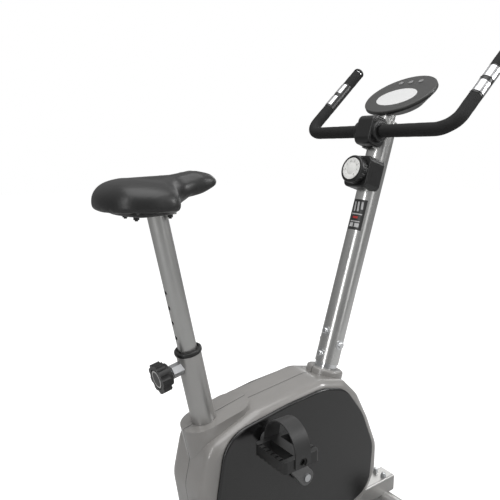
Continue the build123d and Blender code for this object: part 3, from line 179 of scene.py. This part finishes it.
softbox("overhead_box", (-0.2, -0.4, 3.0), (0, 0, 0.6), 2.4, 2.4, 40.0)
softbox("rider_side_strip", (-2.6, -0.9, 1.5), (0.1, 0, 0.8), 0.4, 2.6, 20.0)
softbox("near_side_strip", (0.35, -2.9, 1.5), (0.1, 0, 0.8), 0.7, 2.6, 6.0)
softbox("edge_strip", (1.96, -1.6, 1.93), (0.1, 0, 0.5), 0.60, 0.9, 24.0)
softbox("front_fill", (2.6, 1.6, 1.8), (0, 0, 0.7), 1.4, 1.8, 16.0)

# ---------------------------------------------------------------- welded frame
# Keel beam, seat tube with its boss, neck stub, crank shell and flywheel fork: mild steel tube and plate,
# welded, then powder coated in a warm silver grey with a slight orange peel and a fine metal flake.
nodes = frame["nodes"]


def new_finish(name):
    """A material with a Principled shader, its Tone for adding nodes, and Object coordinates in metres."""
    material = bpy.data.materials.new(name)
    material.use_nodes = True
    shader = material.node_tree.nodes["Principled BSDF"]
    tone = Tone(material.node_tree)
    return material, shader, tone, tone.make("ShaderNodeTexCoord", out=3)


def settle(shader, tone, **sockets):
    """Sets or links the shader's sockets, underscores standing for spaces."""
    for name, value in sockets.items():
        tone.put(shader.inputs[name.replace("_", " ")], value)


def speckle(tone, coords, size, detail=2.0):
    """Noise whose features are about size metres across, from 0 to 1."""
    return tone.make("ShaderNodeTexNoise", {}, {"Vector": coords, "Scale": 0.6 / size, "Detail": detail})


def relief(tone, height, depth, strength=1.0, under=None):
    """Bump of height (0 to 1) that is depth metres deep."""
    sockets = {"Height": height, "Strength": strength, "Distance": depth}
    if under is not None:
        sockets["Normal"] = under
    return tone.make("ShaderNodeBump", {}, sockets)


def coat(material, *names):
    """Puts one finish on every material slot of the named CAD nodes."""
    for name in names:
        mesh = nodes[name].data
        if not mesh.materials:
            mesh.materials.append(material)
        for index in range(len(mesh.materials)):
            mesh.materials[index] = material


def flake_paint(name, base, roughness, metallic, peel=0.00006):
    """Flaked coat: fine flake in the colour, slow clouding in the gloss, orange peel 1.5 mm across, peel deep."""
    material, shader, tone, coords = new_finish(name)
    flake = speckle(tone, coords, 0.0006, 1.0)
    cloud = speckle(tone, coords, 0.05)
    dark, light = (tuple(c * k for c in base) for k in (0.86, 1.14))
    settle(shader, tone, Base_Color=(flake * 0.6 + cloud * 0.4).blend(dark, light),
           Roughness=cloud * 0.10 + (roughness - 0.05), Metallic=metallic,
           Normal=relief(tone, speckle(tone, coords, 0.0015), peel, 0.5))
    shader.inputs["Coat Weight"].default_value = 0.25
    shader.inputs["Coat Roughness"].default_value = 0.18
    return material


frame_paint = flake_paint("frame_paint", (0.42, 0.415, 0.405), 0.38, 0.75)
coat(frame_paint, "keel_beam", "seat_tube", "bottom_bracket", "flywheel_fork")
coat(frame_paint, "rear_stabilizer", "front_stabilizer")


def bare_metal(name, base, roughness, grain, streak=(1.0, 1.0, 1.0)):
    """Plated or machined metal: fine streaks drawn out along the axes where streak is small, faint smudges."""
    material, shader, tone, coords = new_finish(name)
    drawn = tone.make("ShaderNodeMapping", {}, {"Vector": coords, "Scale": streak})
    lines = speckle(tone, drawn, grain, 3.0)
    smudge = speckle(tone, coords, 0.018)
    dark, light = (tuple(c * k for c in base) for k in (0.90, 1.06))
    settle(shader, tone, Base_Color=smudge.blend(dark, light), Metallic=1.0,
           Roughness=smudge * 0.10 + lines * 0.06 + (roughness - 0.08),
           Normal=relief(tone, lines, 0.00002, 0.4))
    return material


chrome = bare_metal("chrome_plate", (0.74, 0.75, 0.76), 0.14, 0.0015)
zinc = bare_metal("zinc_plate", (0.56, 0.57, 0.58), 0.34, 0.0008)
coat(chrome, "neck_stub")
coat(zinc, "plunger_boss")

# ---------------------------------------------------------------- stabilizers
# Cross tubes with moulded end caps and feet; the front pair of caps carries nylon transport wheels.
# Caps are black polypropylene with a spark-eroded grain, held by carriage bolts with domed nuts.


def moulded(name, base, roughness, grain, depth, coat_weight=0.0):
    """Moulded plastic: spark-eroded grain, faint flow clouding, gloss that drifts a little."""
    material, shader, tone, coords = new_finish(name)
    pits = speckle(tone, coords, grain, 4.0)
    cloud = speckle(tone, coords, 0.04)
    handled = speckle(tone, coords, 0.009)
    dark, light = (tuple(c * k for c in base) for k in (0.88, 1.12))
    settle(shader, tone, Base_Color=(cloud * 0.7 + pits * 0.3).blend(dark, light),
           Roughness=handled * 0.10 + cloud * 0.08 + (roughness - 0.09),
           Normal=relief(tone, pits, depth, 0.6))
    shader.inputs["Coat Weight"].default_value = coat_weight
    shader.inputs["Coat Roughness"].default_value = 0.16
    return material


black_plastic = moulded("black_plastic", (0.011, 0.011, 0.011), 0.38, 0.0009, 0.00010)
nylon = moulded("wheel_nylon", (0.030, 0.030, 0.030), 0.34, 0.0012, 0.00005)
coat(black_plastic, "rear_end_caps", "front_end_caps")
coat(nylon, "wheel_left", "wheel_right")
coat(zinc, "wheel_axles", "stabilizer_fasteners")

# ---------------------------------------------------------------- seat post and pop-pin
# Satin silver seat post with a row of adjusting holes, sliding in a grooved black bush; a spring pin with a
# fluted black knob locks it. The knob's face has a pale printed ring.
post_silver = flake_paint("post_silver", (0.46, 0.46, 0.45), 0.33, 0.85, 0.00002)
coat(post_silver, "seat_post")
coat(black_plastic, "seat_bush", "seat_knob")
coat(zinc, "plunger_pin")


def make_piece(name, points, faces, material, body, slot, smooth=True):
    """An object at the origin from a point array (n, 3) and faces, on its body, with its material; slot is not
    used.
    """
    mesh = bpy.data.meshes.new(name)
    mesh.from_pydata(np.asarray(points, float).tolist(), [], [tuple(map(int, f)) for f in faces])
    mesh.update()
    if smooth:
        mesh.polygons.foreach_set("use_smooth", np.ones(len(mesh.polygons), bool))
    mesh.materials.append(material)
    piece = bpy.data.objects.new(name, mesh)
    scene.collection.objects.link(piece)
    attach(piece, body)
    return piece


def tube_faces(rows, columns):
    """Quads of a grid of rows by columns, wrapped round its columns, with a fan over each end."""
    i, j = np.meshgrid(np.arange(rows - 1), np.arange(columns), indexing="ij")
    k = (j + 1) % columns
    quads = np.stack([i * columns + j, i * columns + k, (i + 1) * columns + k, (i + 1) * columns + j], -1)
    faces = list(quads.reshape(-1, 4))
    ring = np.arange(columns)
    after = (ring + 1) % columns
    first, last = rows * columns, rows * columns + 1
    faces += list(np.stack([after, ring, np.full(columns, first)], -1))
    top = (rows - 1) * columns
    faces += list(np.stack([top + ring, top + after, np.full(columns, last)], -1))
    return faces


def outward(points, faces):
    """The faces, turned round if the closed shape they bound has a negative volume."""
    points = np.asarray(points, float)
    a, b, c = (points[[f[n] for f in faces]] for n in (0, 1, 2))
    volume = np.einsum("ij,ij->i", a, np.cross(b, c)).sum()
    return faces if volume > 0 else [f[::-1] for f in faces]


def turned(place, axis, profile, columns=64):
    """Points and faces of a profile of (radius, height) pairs turned round an axis through place: each ring is
    place + height * axis + radius * (cos t * side + sin t * other), its ends closed at their middles."""
    axis = np.asarray(Vector(axis).normalized())
    side = np.asarray(Vector(axis).orthogonal().normalized())
    other = np.cross(axis, side)
    t = np.linspace(0, 2 * pi, columns, endpoint=False)
    ring = np.cos(t)[:, None] * side + np.sin(t)[:, None] * other
    radius, height = np.asarray(profile, float).T
    points = np.asarray(place) + height[:, None, None] * axis + radius[:, None, None] * ring[None]
    ends = [np.asarray(place) + height[n] * axis for n in (0, -1)]
    points = np.vstack([points.reshape(-1, 3), ends])
    return points, outward(points, tube_faces(len(profile), columns))


def ring_band(place, axis, inner, outer, low, high, columns=72):
    """Points and faces of a flat ring of rectangular section round an axis, closed on itself."""
    axis = np.asarray(Vector(axis).normalized())
    side = np.asarray(Vector(axis).orthogonal().normalized())
    other = np.cross(axis, side)
    t = np.linspace(0, 2 * pi, columns, endpoint=False)
    section = np.array([(inner, low), (outer, low), (outer, high), (inner, high)])
    ring = np.cos(t)[:, None] * side + np.sin(t)[:, None] * other
    points = np.asarray(place) + section[None, :, 1, None] * axis + section[None, :, 0, None] * ring[:, None]
    i, j = np.meshgrid(np.arange(columns), np.arange(4), indexing="ij")
    after, k = (i + 1) % columns, (j + 1) % 4
    faces = np.stack([i * 4 + j, i * 4 + k, after * 4 + k, after * 4 + j], -1).reshape(-1, 4)
    points = points.reshape(-1, 3)
    return points, outward(points, list(faces))


def joint_place(name):
    """Place and axis of a joint, in metres."""
    joint = next(j for j in frame["record"]["behaviour"]["joints"] if j["name"] == name)
    return Vector(joint.get("pos_m", (0, 0, 0))), Vector(joint["axis"]).normalized()


def reach(node, place, axis):
    """How far a node's mesh reaches from place along axis, lowest and highest."""
    mesh = nodes[node].data
    points = np.empty(len(mesh.vertices) * 3)
    mesh.vertices.foreach_get("co", points)
    along = (points.reshape(-1, 3) - np.asarray(place)) @ np.asarray(axis)
    return along.min(), along.max()


knob_place, knob_axis = joint_place("pin_knob_turn")
if knob_axis.x > 0:
    knob_axis = -knob_axis
knob_face = reach("seat_knob", knob_place, knob_axis)[1]
ring_ink = moulded("ring_ink", (0.50, 0.50, 0.49), 0.45, 0.0008, 0.00003)
RING_INNER, RING_OUTER, RING_SUNK, RING_PROUD = 0.0150, 0.0178, 0.0004, 0.00025
make_piece("knob_ring", *ring_band(knob_place, knob_axis, RING_INNER, RING_OUTER, knob_face - RING_SUNK,
                                   knob_face + RING_PROUD), ring_ink, "pin_knob", "button_grey", smooth=False)

# ---------------------------------------------------------------- saddle
# A foam bun on a black moulded pan, covered in one piece of black vinyl with a fine leather grain, drawn
# tight over a broad rear pad and a raised nose, with a skirt that comes down over the pan's sides.
saddle_low, saddle_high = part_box("saddle_cushion")


def through(points, count, closed=False):
    """count points on a Catmull-Rom curve through the given ones, in equal steps of its parameter."""
    p = np.asarray(points, float)
    n = len(p)
    t = np.linspace(0, n if closed else n - 1, count, endpoint=not closed)
    i = np.floor(t).astype(int)
    if not closed:
        i = np.minimum(i, n - 2)
    f = (t - i)[:, None]
    pick = (lambda k: p[(i + k) % n]) if closed else (lambda k: p[np.clip(i + k, 0, n - 1)])
    a, b, c, d = pick(-1), pick(0), pick(1), pick(2)
    return 0.5 * (2 * b + (c - a) * f + (2 * a - 5 * b + 4 * c - d) * f ** 2 + (3 * b - a - 3 * c + d) * f ** 3)


def saddle_form(inset, columns=144, rows=30):
    """Closed surface of the saddle. Its plan outline is carried in to a spine down the middle: at fraction s of the
    way out the height is edge + (top - edge) * (1 - s^a)^(1/a) above the widest line, and falls to the underside
    below it with a squarer curve. top, edge and underside vary along the length."""
    length = saddle_high.x - saddle_low.x
    half = saddle_high.y
    plan = np.array([(0.0, 0.0), (0.026, 0.46), (0.100, 0.76), (0.235, 0.94), (0.375, 1.0), (0.470, 0.93),
                     (0.545, 0.70), (0.625, 0.48), (0.720, 0.40), (0.830, 0.385), (0.930, 0.31), (0.985, 0.16)])
    right = plan[1:] * (length, -half)
    nose_tip = np.array([(length, 0.0)])
    outline = np.vstack([plan[:1] * (length, half), right, nose_tip, right[::-1] * (1, -1)])
    outline = through(outline, columns, closed=True)
    spine = np.stack([np.clip(outline[:, 0], 0.30 * length, 0.84 * length), np.zeros(columns)], -1)
    away = outline - spine
    distance = np.linalg.norm(away, axis=1, keepdims=True)
    outline = spine + away * (1 - inset / distance)
    turn = np.linspace(0, pi, rows)[1:-1]
    upper = turn < pi / 2
    power = np.where(upper, 2.55, 7.0)
    out = np.abs(np.sin(turn)) ** (2 / power)
    lift = np.abs(np.cos(turn)) ** (2 / power)
    flat = spine[None] + out[:, None, None] * (outline - spine)[None]
    x = flat[..., 0] / length
    height = saddle_high.z - saddle_low.z
    top_share = (.80, .835, .79, .745, .82, .985, .955, .77)
    top = np.interp(x, (0, .12, .30, .45, .60, .80, .92, 1), top_share) * height - inset
    under_share = (-.11, -.12, .08, .26, .38, .50, .64)
    under = np.interp(x, (0, .47, .58, .70, .85, .95, 1), under_share) * height + inset
    edge = under + np.interp(x, (0, .5, .7, 1), (.20, .22, .36, .42)) * (top - under)
    z = np.where(upper[:, None], edge + (top - edge) * lift[:, None], edge - (edge - under) * lift[:, None])
    points = np.concatenate([flat, z[..., None]], -1)
    ends = np.stack([points[0].mean(0), points[-1].mean(0)])
    points = np.vstack([points.reshape(-1, 3), ends]) + (saddle_low.x, 0, saddle_low.z)
    return points, outward(points, tube_faces(len(turn), columns))


vinyl, vinyl_shader, vinyl_tone, vinyl_coords = new_finish("black_vinyl")
grain_cells = vinyl_tone.make("ShaderNodeTexVoronoi", {"feature": "DISTANCE_TO_EDGE"},
                              {"Vector": vinyl_coords, "Scale": 520.0})
grain_fine = speckle(vinyl_tone, vinyl_coords, 0.0007, 3.0)
worn = speckle(vinyl_tone, vinyl_coords, 0.05)
settle(vinyl_shader, vinyl_tone, Base_Color=(worn * 0.6 + grain_fine * 0.4).blend(grey(0.008), grey(0.014)),
       Roughness=worn * 0.12 + grain_fine * 0.08 + 0.29,
       Normal=relief(vinyl_tone, grain_fine, 0.00006, 0.35,
                     relief(vinyl_tone, grain_cells.maths("MINIMUM", grain_cells * 4.0, 1.0), 0.00010, 0.25)))
vinyl_shader.inputs["Specular IOR Level"].default_value = 0.55


def swell(piece, voxel, pressure, most, frames=20):
    """Remeshes a pad, blows it up a little as cloth under inner pressure with gravity off, holds every point to
    within most metres of where it began, then smooths the result with one subdivision."""
    bpy.context.view_layer.objects.active = piece
    piece.select_set(True)
    remesh = piece.modifiers.new("remesh", "REMESH")
    remesh.mode = "VOXEL"
    remesh.voxel_size = voxel
    remesh.use_smooth_shade = True
    bpy.ops.object.modifier_apply(modifier=remesh.name)
    start = np.empty(len(piece.data.vertices) * 3)
    piece.data.vertices.foreach_get("co", start)
    cloth = piece.modifiers.new("cloth", "CLOTH")
    cloth.settings.use_pressure = True
    cloth.settings.uniform_pressure_force = pressure
    cloth.settings.effector_weights.gravity = 0.0
    cloth.settings.tension_stiffness = 30.0
    cloth.settings.bending_stiffness = 6.0
    cloth.point_cache.frame_start = 1
    cloth.point_cache.frame_end = frames
    for step in range(1, frames + 1):
        scene.frame_set(step)
    shaped = piece.evaluated_get(bpy.context.evaluated_depsgraph_get())
    end = np.empty_like(start)
    shaped.data.vertices.foreach_get("co", end)
    piece.modifiers.remove(cloth)
    scene.frame_set(1)
    move = (end - start).reshape(-1, 3)
    size = np.linalg.norm(move, axis=1, keepdims=True)
    move *= np.minimum(1.0, most / np.maximum(size, 1e-9))
    piece.data.vertices.foreach_set("co", start + move.reshape(-1))
    piece.data.update()
    smooth = piece.modifiers.new("smooth", "SUBSURF")
    smooth.levels = smooth.render_levels = 1
    bpy.ops.object.modifier_apply(modifier=smooth.name)
    piece.data.polygons.foreach_set("use_smooth", np.ones(len(piece.data.polygons), bool))
    piece.select_set(False)


saddle = make_piece("saddle_bun", *saddle_form(0.0025), vinyl, "seat", "vinyl")
swell(saddle, 0.0045, 3.0, 0.0045)
if not saddle.data.materials:
    saddle.data.materials.append(vinyl)
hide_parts("saddle_cushion")


coat(black_plastic, "saddle_base")
black_oxide = bare_metal("black_oxide", (0.05, 0.05, 0.05), 0.42, 0.0008)
coat(black_oxide, "saddle_fasteners")

# ---------------------------------------------------------------- front post
# Leaning round post in bright silver lacquer, slipped over the chromed neck and held by bolts with curved
# washers; a printed film with plain graphic blocks is wrapped round its rear below the tension control.
bright_silver = flake_paint("bright_silver", (0.60, 0.60, 0.59), 0.26, 0.95, 0.000006)
coat(bright_silver, "front_post")
coat(chrome, "post_fasteners")
POST_LEAN = radians(17.2)
post_up = Vector((sin(POST_LEAN), 0, cos(POST_LEAN)))
post_back = Vector((-cos(POST_LEAN), 0, sin(POST_LEAN)))
post_foot = Vector((-0.0013, 0, 0.110))
POST_RADIUS = 0.0285
DECAL_LOW, DECAL_HIGH = 0.727, 0.801
DECAL_FROM, DECAL_TO = radians(-32), radians(50)
DECAL_LIFT = 0.00018

decal_film, film_shader, film_tone, film_coords = new_finish("decal_film")
film_uv = film_tone.make("ShaderNodeTexCoord", out=2)
film_split = film_tone.make("ShaderNodeSeparateXYZ", {}, {0: film_uv})
film_u, film_v = film_split, Tone(film_tone.tree, film_split.socket.node.outputs[1])


def block_mask(low_u, high_u, low_v, high_v, slant=0.0):
    """1 inside a slanted rectangle of the film's own coordinates, and 0 outside."""
    across = film_u + film_v * slant
    along = film_v.above(low_v) * (1 - film_v.above(high_v))
    return (across.above(low_u) * (1 - across.above(high_u))) * along


pale = (block_mask(0.34, 0.46, 0.60, 0.92, 0.16) + block_mask(0.58, 0.70, 0.60, 0.92, 0.16)
        + block_mask(0.82, 0.94, 0.68, 0.92, 0.16) + block_mask(0.14, 0.86, 0.50, 0.535)
        + block_mask(0.16, 0.44, 0.09, 0.22) + block_mask(0.54, 0.82, 0.09, 0.22)
        + block_mask(0.16, 0.82, 0.26, 0.29))
red = block_mask(0.30, 0.64, 0.37, 0.44)
film_wear = speckle(film_tone, film_coords, 0.004, 4.0)
film_base = film_wear.blend(grey(0.018), grey(0.034))
film_pale = pale.maths("MINIMUM", pale, 1.0).blend(film_base, film_wear.blend(grey(0.42), grey(0.55)))
settle(film_shader, film_tone, Base_Color=red.blend(film_pale, (0.42, 0.03, 0.03)),
       Roughness=film_wear * 0.15 + 0.28, Normal=relief(film_tone, film_wear, 0.00002, 0.3))
decal_rows, decal_columns = 24, 24
turn, rise = np.meshgrid(np.linspace(DECAL_FROM, DECAL_TO, decal_columns),
                         np.linspace(DECAL_LOW, DECAL_HIGH, decal_rows))
around = np.cos(turn)[..., None] * np.asarray(post_back) + np.sin(turn)[..., None] * np.array([0, -1.0, 0])
post_middle = np.asarray(post_foot) + rise[..., None] * np.asarray(post_up)
decal_skin = post_middle + (POST_RADIUS + DECAL_LIFT) * around
i, j = np.meshgrid(np.arange(decal_rows - 1), np.arange(decal_columns - 1), indexing="ij")
decal_faces = np.stack([i * decal_columns + j, i * decal_columns + j + 1, (i + 1) * decal_columns + j + 1,
                        (i + 1) * decal_columns + j], -1).reshape(-1, 4)
decal = make_piece("post_decal", decal_skin.reshape(-1, 3), decal_faces, decal_film, "frame", "black_plastic")
decal_map = decal.data.uv_layers.new(name="film")
corner = np.empty(len(decal.data.loops), int)
decal.data.loops.foreach_get("vertex_index", corner)
decal_map.data.foreach_set("uv", np.column_stack([(corner % decal_columns) / (decal_columns - 1),
                                                  (corner // decal_columns) / (decal_rows - 1)]).ravel())

# ---------------------------------------------------------------- handlebar
# Chromed steel bar bent up into two grips. Black closed-cell foam sleeves are pushed on; between them on each
# grip a black carrier holds two bright pulse plates, and a rubber cap closes each end.
coat(chrome, "handlebar")
pulse_steel = bare_metal("pulse_steel", (0.66, 0.66, 0.67), 0.24, 0.0006, (1.0, 0.05, 1.0))
coat(pulse_steel, "pulse_plates")
coat(black_plastic, "pulse_carriers")
rubber = moulded("black_rubber", (0.012, 0.012, 0.012), 0.62, 0.0007, 0.00008)
coat(rubber, "bar_end_caps")

foam, foam_shader, foam_tone, foam_coords = new_finish("grip_foam")
foam_pores = foam_tone.make("ShaderNodeTexVoronoi", {}, {"Vector": foam_coords, "Scale": 900.0})
foam_cloud = speckle(foam_tone, foam_coords, 0.012)
settle(foam_shader, foam_tone, Base_Color=(foam_pores * 0.5 + foam_cloud * 0.4).blend(grey(0.006), grey(0.018)),
       Roughness=foam_cloud * 0.15 + 0.72,
       Normal=relief(foam_tone, foam_pores, 0.00028, 0.55, relief(foam_tone, foam_cloud, 0.0004, 0.3)))
foam_shader.inputs["Specular IOR Level"].default_value = 0.35

bar_place = joint_place("handlebar_tilt")[0]
BAR_CORNER = 0.220
BAR_BEND = 0.045
GRIP_RISE = radians(42.5)
FOAM_RADIUS = 0.0151
FOAM_START, SENSOR_START, SENSOR_END, GRIP_END = 0.0355, 0.099, 0.191, 0.246


def bar_line(side, start, end):
    """Points of the bar's middle line: straight out along y, a circular bend, then straight up the grip."""
    grip = np.array([cos(GRIP_RISE), 0, sin(GRIP_RISE)])
    out = np.array([0, side, 0.0])
    corner = np.asarray(bar_place) + out * BAR_CORNER
    pull = BAR_BEND
    middle = corner - out * pull + grip * pull
    t = np.linspace(0, pi / 2, 22)
    bend = middle + pull * (np.sin(t)[:, None] * out - np.cos(t)[:, None] * grip)
    low = np.linspace(np.asarray(bar_place) + out * start, corner - out * pull, 26)[:-1]
    high = np.linspace(corner + grip * pull, corner + grip * end, 14)[1:]
    return np.vstack([low, bend, high])


def foam_sleeve(path, columns=40):
    """A foam sleeve along a path: radius R with a slow ripple of a few tenths of a millimetre along and round it,
    drawn in over a quarter circle at both ends to the bar's radius."""
    ahead = np.gradient(path, axis=0)
    ahead /= np.linalg.norm(ahead, axis=1, keepdims=True)
    across = np.cross((0.0, 1.0, 0.0), (cos(GRIP_RISE), 0, sin(GRIP_RISE)))
    out = np.cross(ahead, across)
    travel = np.concatenate([[0], np.cumsum(np.linalg.norm(np.diff(path, axis=0), axis=1))])
    count = 150
    where = travel[-1] * (1 - np.cos(np.linspace(0, pi, count))) / 2
    line, out, over = (np.stack([np.interp(where, travel, v[:, n]) for n in range(3)], -1)
                       for v in (path, out, np.tile(across, (len(path), 1))))
    near_end = np.minimum(where, travel[-1] - where)
    lip = 0.0022
    shrink = lip * (1 - np.sqrt(np.clip(1 - (1 - np.clip(near_end / lip, 0, 1)) ** 2, 0, 1)))
    t = np.linspace(0, 2 * pi, columns, endpoint=False)
    ripple = 0.00016 * np.sin(where[:, None] * 190) * np.sin(2 * t + where[:, None] * 40)
    radius = FOAM_RADIUS - 0.0001 + ripple - shrink[:, None]
    points = line[:, None] + radius[..., None] * (np.cos(t)[None, :, None] * out[:, None]
                                                  + np.sin(t)[None, :, None] * over[:, None])
    points = np.vstack([points.reshape(-1, 3), line[:1], line[-1:]])
    return points, outward(points, tube_faces(count, columns))


for name, side in (("left", 1), ("right", -1)):
    sleeve_line = bar_line(side, FOAM_START, SENSOR_START)
    sleeve = make_piece("foam_%s" % name, *foam_sleeve(sleeve_line), foam, "handles", "foam")
    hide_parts("grip_%s" % name)
    grip = np.array([cos(GRIP_RISE), 0, sin(GRIP_RISE)])
    corner = np.asarray(bar_place) + (0, side * BAR_CORNER, 0)
    tip_line = corner + np.linspace(SENSOR_END, GRIP_END, 8)[:, None] * grip
    tip = make_piece("foam_tip_%s" % name, *foam_sleeve(tip_line), foam, "handles", "foam")

# ---------------------------------------------------------------- clamp and its cover
# Steel cradle welded to the post, clamp half and screws; a two-piece moulded cover hides them.
coat(bright_silver, "bar_bracket", "console_bracket")
coat(zinc, "bar_clamp")
cover_plastic = moulded("cover_plastic", (0.010, 0.010, 0.010), 0.32, 0.0008, 0.00008)
coat(cover_plastic, "clamp_cover_left", "clamp_cover_right")

# ---------------------------------------------------------------- tension control
# Black two-part box on the post's rear with a ribbed knob; its white dial plate is printed with a scale.
coat(cover_plastic, "tension_box_rear", "tension_box_front", "tension_knob")
dial_place = joint_place("tension_turn")[0]
dial_axis = post_back.copy()
dial_face = reach("tension_knob", dial_place, dial_axis)[1]
DIAL_RADIUS = 0.0258
dial_white = moulded("dial_white", (0.80, 0.80, 0.78), 0.40, 0.0008, 0.00003)
dial_ink = moulded("dial_ink", (0.045, 0.045, 0.045), 0.5, 0.0006, 0.00002)
plate_rise = dial_face + 0.00045
make_piece("dial_plate", *turned(dial_place, dial_axis, [
    (0.0020, dial_face - 0.0001), (DIAL_RADIUS, dial_face - 0.0001), (DIAL_RADIUS, plate_rise - 0.00030),
    (DIAL_RADIUS - 0.0003, plate_rise - 0.00005), (DIAL_RADIUS - 0.0008, plate_rise), (0.0150, plate_rise),
    (0.0146, plate_rise - 0.00020), (0.0142, plate_rise - 0.00020), (0.0138, plate_rise), (0.0020, plate_rise)]),
           dial_white, "dial", "dial_white")
dial_side = Vector((0, -1, 0))
dial_top = dial_side.cross(dial_axis) * -1
if dial_top.z < 0:
    dial_top = -dial_top


def dial_spot(angle, radius):
    """A point on the dial's face at an angle clockwise from its top."""
    return dial_place + dial_axis * plate_rise + (dial_top * cos(angle) + dial_side * sin(angle)) * radius


def bar_block(start, end, width, rise, out):
    """A thin raised bar from start to end, width across and rise proud of the face whose normal is out."""
    along = (end - start).normalized()
    across = along.cross(out).normalized() * (width / 2)
    lift = out * rise
    base = [start - across, start + across, end + across, end - across]
    points = np.array([tuple(p - out * 0.0002) for p in base] + [tuple(p + lift) for p in base])
    faces = [(0, 1, 2, 3), (7, 6, 5, 4), (0, 4, 5, 1), (1, 5, 6, 2), (2, 6, 7, 3), (3, 7, 4, 0)]
    return points, outward(points, faces)


tick_points, tick_faces = [], []
SCALE_STEPS = 8
TICK_OUTER, TICK_RISE = 0.0246, 0.00012
NUMBER_SIZE, NUMBER_RADIUS = 0.0060, 0.0182
for step in range(SCALE_STEPS * 2 - 1):
    angle = radians(-140 + 280 * step / (SCALE_STEPS * 2 - 2))
    inner = 0.0225 if step % 2 else 0.0220
    width = 0.0003 if step % 2 else 0.0005
    p, f = bar_block(dial_spot(angle, inner), dial_spot(angle, TICK_OUTER), width, TICK_RISE, dial_axis)
    tick_faces += [tuple(n + 8 * len(tick_points) for n in face) for face in f]
    tick_points.append(p)
make_piece("dial_ticks", np.vstack(tick_points), tick_faces, dial_ink, "dial", "dial_white", smooth=False)


def flat_text(name, word, size, place, right, up, material, body):
    """Raised lettering turned into a mesh first, then laid with its middle at place, right and up in its plane."""
    curve = bpy.data.curves.new(name, "FONT")
    curve.body = word
    curve.size = size
    curve.extrude = 0.00008
    curve.resolution_u = 3
    curve.align_x = "CENTER"
    curve.align_y = "CENTER"
    letter = bpy.data.objects.new(name + "_curve", curve)
    scene.collection.objects.link(letter)
    mesh = bpy.data.meshes.new_from_object(letter.evaluated_get(bpy.context.evaluated_depsgraph_get()))
    bpy.data.objects.remove(letter)
    mesh.name = name
    out = right.cross(up)
    mesh.transform(Matrix.Translation(place) @ Matrix((right, up, out)).transposed().to_4x4())
    mesh.materials.clear()
    mesh.materials.append(material)
    piece = bpy.data.objects.new(name, mesh)
    scene.collection.objects.link(piece)
    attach(piece, body)
    return piece


for step in range(SCALE_STEPS):
    angle = radians(-140 + 280 * step / (SCALE_STEPS - 1))
    flat_text("dial_number_%d" % (step + 1), str(step + 1), NUMBER_SIZE, dial_spot(angle, NUMBER_RADIUS),
              dial_side, dial_top, dial_ink, "dial")

# ---------------------------------------------------------------- console
# Oval computer: charcoal bezel with a satin grain over a dished black back, a fascia under a clear window, its
# near-white colour a painted reflection of the white surroundings, and three soft grey keys.
console_charcoal = moulded("console_charcoal", (0.045, 0.045, 0.044), 0.38, 0.0010, 0.00008)
coat(console_charcoal, "console_bezel")
coat(black_plastic, "console_back")
window_painted_reflection, fascia_shader, fascia_tone, fascia_coords = new_finish("window_reflection_paint")
fascia_grain = speckle(fascia_tone, fascia_coords, 0.0006, 1.0)
# Grey 0.80 to 0.88 is a painted reflection of the white surroundings in the glossy window; the fine grain and the
# clear coat are real.
settle(fascia_shader, fascia_tone, Base_Color=fascia_grain.blend(grey(0.80), grey(0.88)),
       Roughness=fascia_grain * 0.08 + 0.20, Metallic=0.15)
fascia_shader.inputs["Coat Weight"].default_value = 1.0
fascia_shader.inputs["Coat Roughness"].default_value = 0.03
coat(window_painted_reflection, "console_window")
key_grey = moulded("key_grey", (0.22, 0.22, 0.22), 0.50, 0.0008, 0.00004)
coat(key_grey, "button_left", "button_middle", "button_right")

# ---------------------------------------------------------------- crank and pedals
# Forged, painted crank arms on a steel axle with cup bearings; moulded pedals with a toe strap each.
crank_paint = flake_paint("crank_paint", (0.10, 0.10, 0.10), 0.34, 0.4)
coat(crank_paint, "crank_arms")
coat(zinc, "crank_axle", "crank_bearings")
coat(black_plastic, "drive_pulley", "pedal_left", "pedal_right")
strap_vinyl = moulded("strap_vinyl", (0.024, 0.024, 0.024), 0.48, 0.0012, 0.00008)
coat(strap_vinyl, "strap_left", "strap_right")

# ---------------------------------------------------------------- drive and brake
# Inside the housing: cast flywheel on its axle, ribbed belt, hinged magnet bracket, and the tension cable.
cast_iron = bare_metal("cast_iron", (0.28, 0.28, 0.28), 0.48, 0.0016)
coat(cast_iron, "flywheel")
coat(zinc, "flywheel_axle", "brake_hanger")
coat(crank_paint, "magnet_bracket")
coat(rubber, "drive_belt", "tension_cable")

# ---------------------------------------------------------------- housing
# Two moulded halves in warm grey with a fine grain, closed on the middle plane, with raised collars round
# both tubes; a glossier black oval cover is clipped over each side.


def parted_plastic(name, base, roughness, line):
    """The moulded finish with a dark shut line, line metres wide, where the two halves meet on the middle plane."""
    material = moulded(name, base, roughness, 0.0011, 0.00006, 0.8)
    tree = material.node_tree
    shader = tree.nodes["Principled BSDF"]
    tone = Tone(tree)
    across = tone.make("ShaderNodeSeparateXYZ", {}, {0: tone.make("ShaderNodeTexCoord", out=3)}, 1)
    beside = across.maths("ABSOLUTE", across)
    shut = 1 - (beside - line / 2).above(0.0)
    colour = Tone(tree, shader.inputs["Base Color"].links[0].from_socket)
    under = Tone(tree, shader.inputs["Normal"].links[0].from_socket)
    settle(shader, tone, Base_Color=shut.blend(colour, grey(0.02)),
           Normal=relief(tone, beside.maths("MINIMUM", beside * 400.0, 1.0), 0.0010, 0.8, under))
    return material


housing_plastic = parted_plastic("housing_plastic", (0.245, 0.236, 0.226), 0.34, 0.0016)
coat(housing_plastic, "housing_left", "housing_right")
gloss_black = moulded("gloss_black", (0.007, 0.007, 0.007), 0.24, 0.0014, 0.00004, 0.3)
coat(gloss_black, "side_covers")
